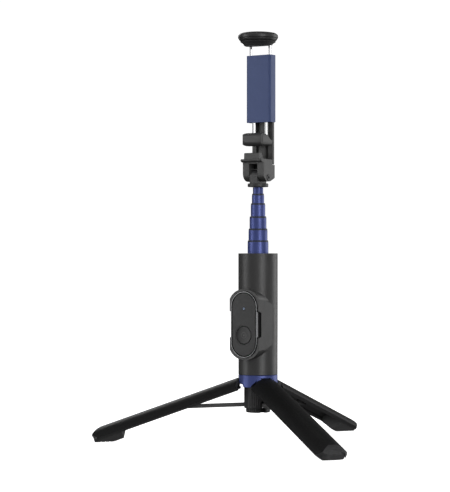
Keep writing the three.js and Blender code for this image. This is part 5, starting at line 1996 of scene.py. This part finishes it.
@dataclass
class Studio:
    """A white floor and backdrop, soft boxes round the object, and the camera."""

    axis: Vector
    azimuth: float = 36
    camera_height: float = 0.1504
    camera_distance: float = 1.429
    camera_aside: float = 0.0252
    lens: float = 136.98
    middle: float = 0.15
    world_front: float = 0.2
    world_back: float = 0.06
    world_turn: ClassVar[tuple[float, float]] = (-0.9, 0.5)
    backdrop: float = 1.05
    floor_radius: float = 2.6
    softboxes: ClassVar[tuple[Softbox, ...]] = (
        Softbox("left_strip", -80, 0.15, 1.1, 0.4, 1.5, 5.5),
        Softbox("front_strip", 24, 0.2, 1.5, 0.6, 1.4, 12.5),
        Softbox("right_strip", 118, 0.15, 1.2, 0.9, 1.5, 8),
        Softbox("top_box", -20, 1.3, 0.6, 1.2, 1.2, 3),
        Softbox("rear_box", -160, 0.7, 1.5, 0.7, 0.7, 5),
    )

    def build(self) -> None:
        """Makes the camera, the lights, the world and the floor."""
        self.camera()
        for softbox in self.softboxes:
            self.light(softbox)
        self.world()
        self.floor()

    def towards(self, degrees: float) -> Vector:
        """The level direction from the object at an angle to the right of the camera's."""
        angle = math.radians(self.azimuth + degrees)
        return Vector((math.sin(angle), -math.cos(angle), 0))

    def camera(self) -> None:
        """A long lens, level, a little to one side of the object."""
        data = bpy.data.cameras.new("camera")
        data.lens = self.lens
        camera = bpy.data.objects.new("camera", data)
        bpy.context.scene.collection.objects.link(camera)
        back = self.towards(0)
        aside = self.towards(-90)
        place = self.axis + back * self.camera_distance + aside * self.camera_aside
        camera.location = place + Vector((0, 0, self.camera_height))
        camera.rotation_euler = (-back).to_track_quat("-Z", "Y").to_euler()
        bpy.context.scene.camera = camera

    def light(self, softbox: Softbox) -> None:
        """Places one soft box."""
        data = bpy.data.lights.new(softbox.name, "AREA")
        data.shape = "RECTANGLE"
        data.size, data.size_y = softbox.width, softbox.height
        data.energy = softbox.watts
        light = bpy.data.objects.new(softbox.name, data)
        bpy.context.scene.collection.objects.link(light)
        target = self.axis + Vector((0, 0, self.middle))
        light.location = self.axis + self.towards(softbox.azimuth) * softbox.distance
        light.location.z = self.middle + softbox.rise
        light.rotation_euler = (target - light.location).to_track_quat("-Z", "Y").to_euler()

    def world(self) -> None:
        """A white backdrop that lights the object more from its front than from behind."""
        world = bpy.data.worlds.new("backdrop")
        bpy.context.scene.world = world
        bpy.context.scene.view_settings.view_transform = "Standard"
        world.use_nodes = True
        nodes, links = world.node_tree.nodes, world.node_tree.links
        nodes.clear()
        place = nodes.new("ShaderNodeTexCoord")
        facing = nodes.new("ShaderNodeVectorMath")
        facing.operation = "DOT_PRODUCT"
        facing.inputs[1].default_value = self.towards(0)
        links.new(place.outputs["Generated"], facing.inputs[0])
        remap = nodes.new("ShaderNodeMapRange")
        remap.inputs["From Min"].default_value, remap.inputs["From Max"].default_value = self.world_turn
        remap.inputs["To Min"].default_value = self.world_back
        remap.inputs["To Max"].default_value = self.world_front
        links.new(facing.outputs["Value"], remap.inputs["Value"])
        soft = nodes.new("ShaderNodeBackground")
        links.new(remap.outputs["Result"], soft.inputs["Strength"])
        white = nodes.new("ShaderNodeBackground")
        white.inputs["Strength"].default_value = self.backdrop
        for background in (soft, white):
            background.inputs["Color"].default_value = (1, 1, 1, 1)
        rays = nodes.new("ShaderNodeLightPath")
        mix = nodes.new("ShaderNodeMixShader")
        links.new(rays.outputs["Is Camera Ray"], mix.inputs["Fac"])
        links.new(soft.outputs["Background"], mix.inputs[1])
        links.new(white.outputs["Background"], mix.inputs[2])
        output = nodes.new("ShaderNodeOutputWorld")
        links.new(mix.outputs["Shader"], output.inputs["Surface"])

    def floor(self) -> None:
        """A wide white floor, which neither lights the object nor shows in its reflections."""
        shape = bmesh.new()
        bmesh.ops.create_circle(shape, cap_ends=True, segments=TUBE_SIDES, radius=self.floor_radius)
        mesh = bpy.data.meshes.new("floor")
        shape.to_mesh(mesh)
        shape.free()
        floor = bpy.data.objects.new("floor", mesh)
        bpy.context.scene.collection.objects.link(floor)
        graph = Graph("white_floor")
        tone = graph.spread(graph.noise(40), 0, 1)
        graph.feed("Base Color", graph.blend(tone, (0.86, 0.86, 0.86), (0.88, 0.88, 0.88)))
        graph.set(Roughness=0.7, Emission_Color=(1, 1, 1, 1), Emission_Strength=1)
        mesh.materials.append(graph.material)
        floor.visible_diffuse = False
        floor.visible_glossy = False


def main() -> None:
    """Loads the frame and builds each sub-assembly in order."""
    logging.basicConfig(level=logging.INFO, format="%(name)s %(message)s")
    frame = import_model()
    bench = Bench(frame)
    legs = LegShape(grip_radius=bench.extent("grip_casing").high.x)
    Studio(bench.axis).build()
    for assembly in (
        Grip(bench),
        Hub(bench, legs),
        Column(bench, legs),
        Legs(bench, legs),
        Pole(bench),
        Remote(bench),
        ClampHead(bench),
        ClampBack(bench),
        UpperJaw(bench),
        LowerJaw(bench),
    ):
        assembly.build()
        LOG.info("%s done", type(assembly).__name__)
    bpy.context.view_layer.update()


if __name__ == "__main__":
    main()
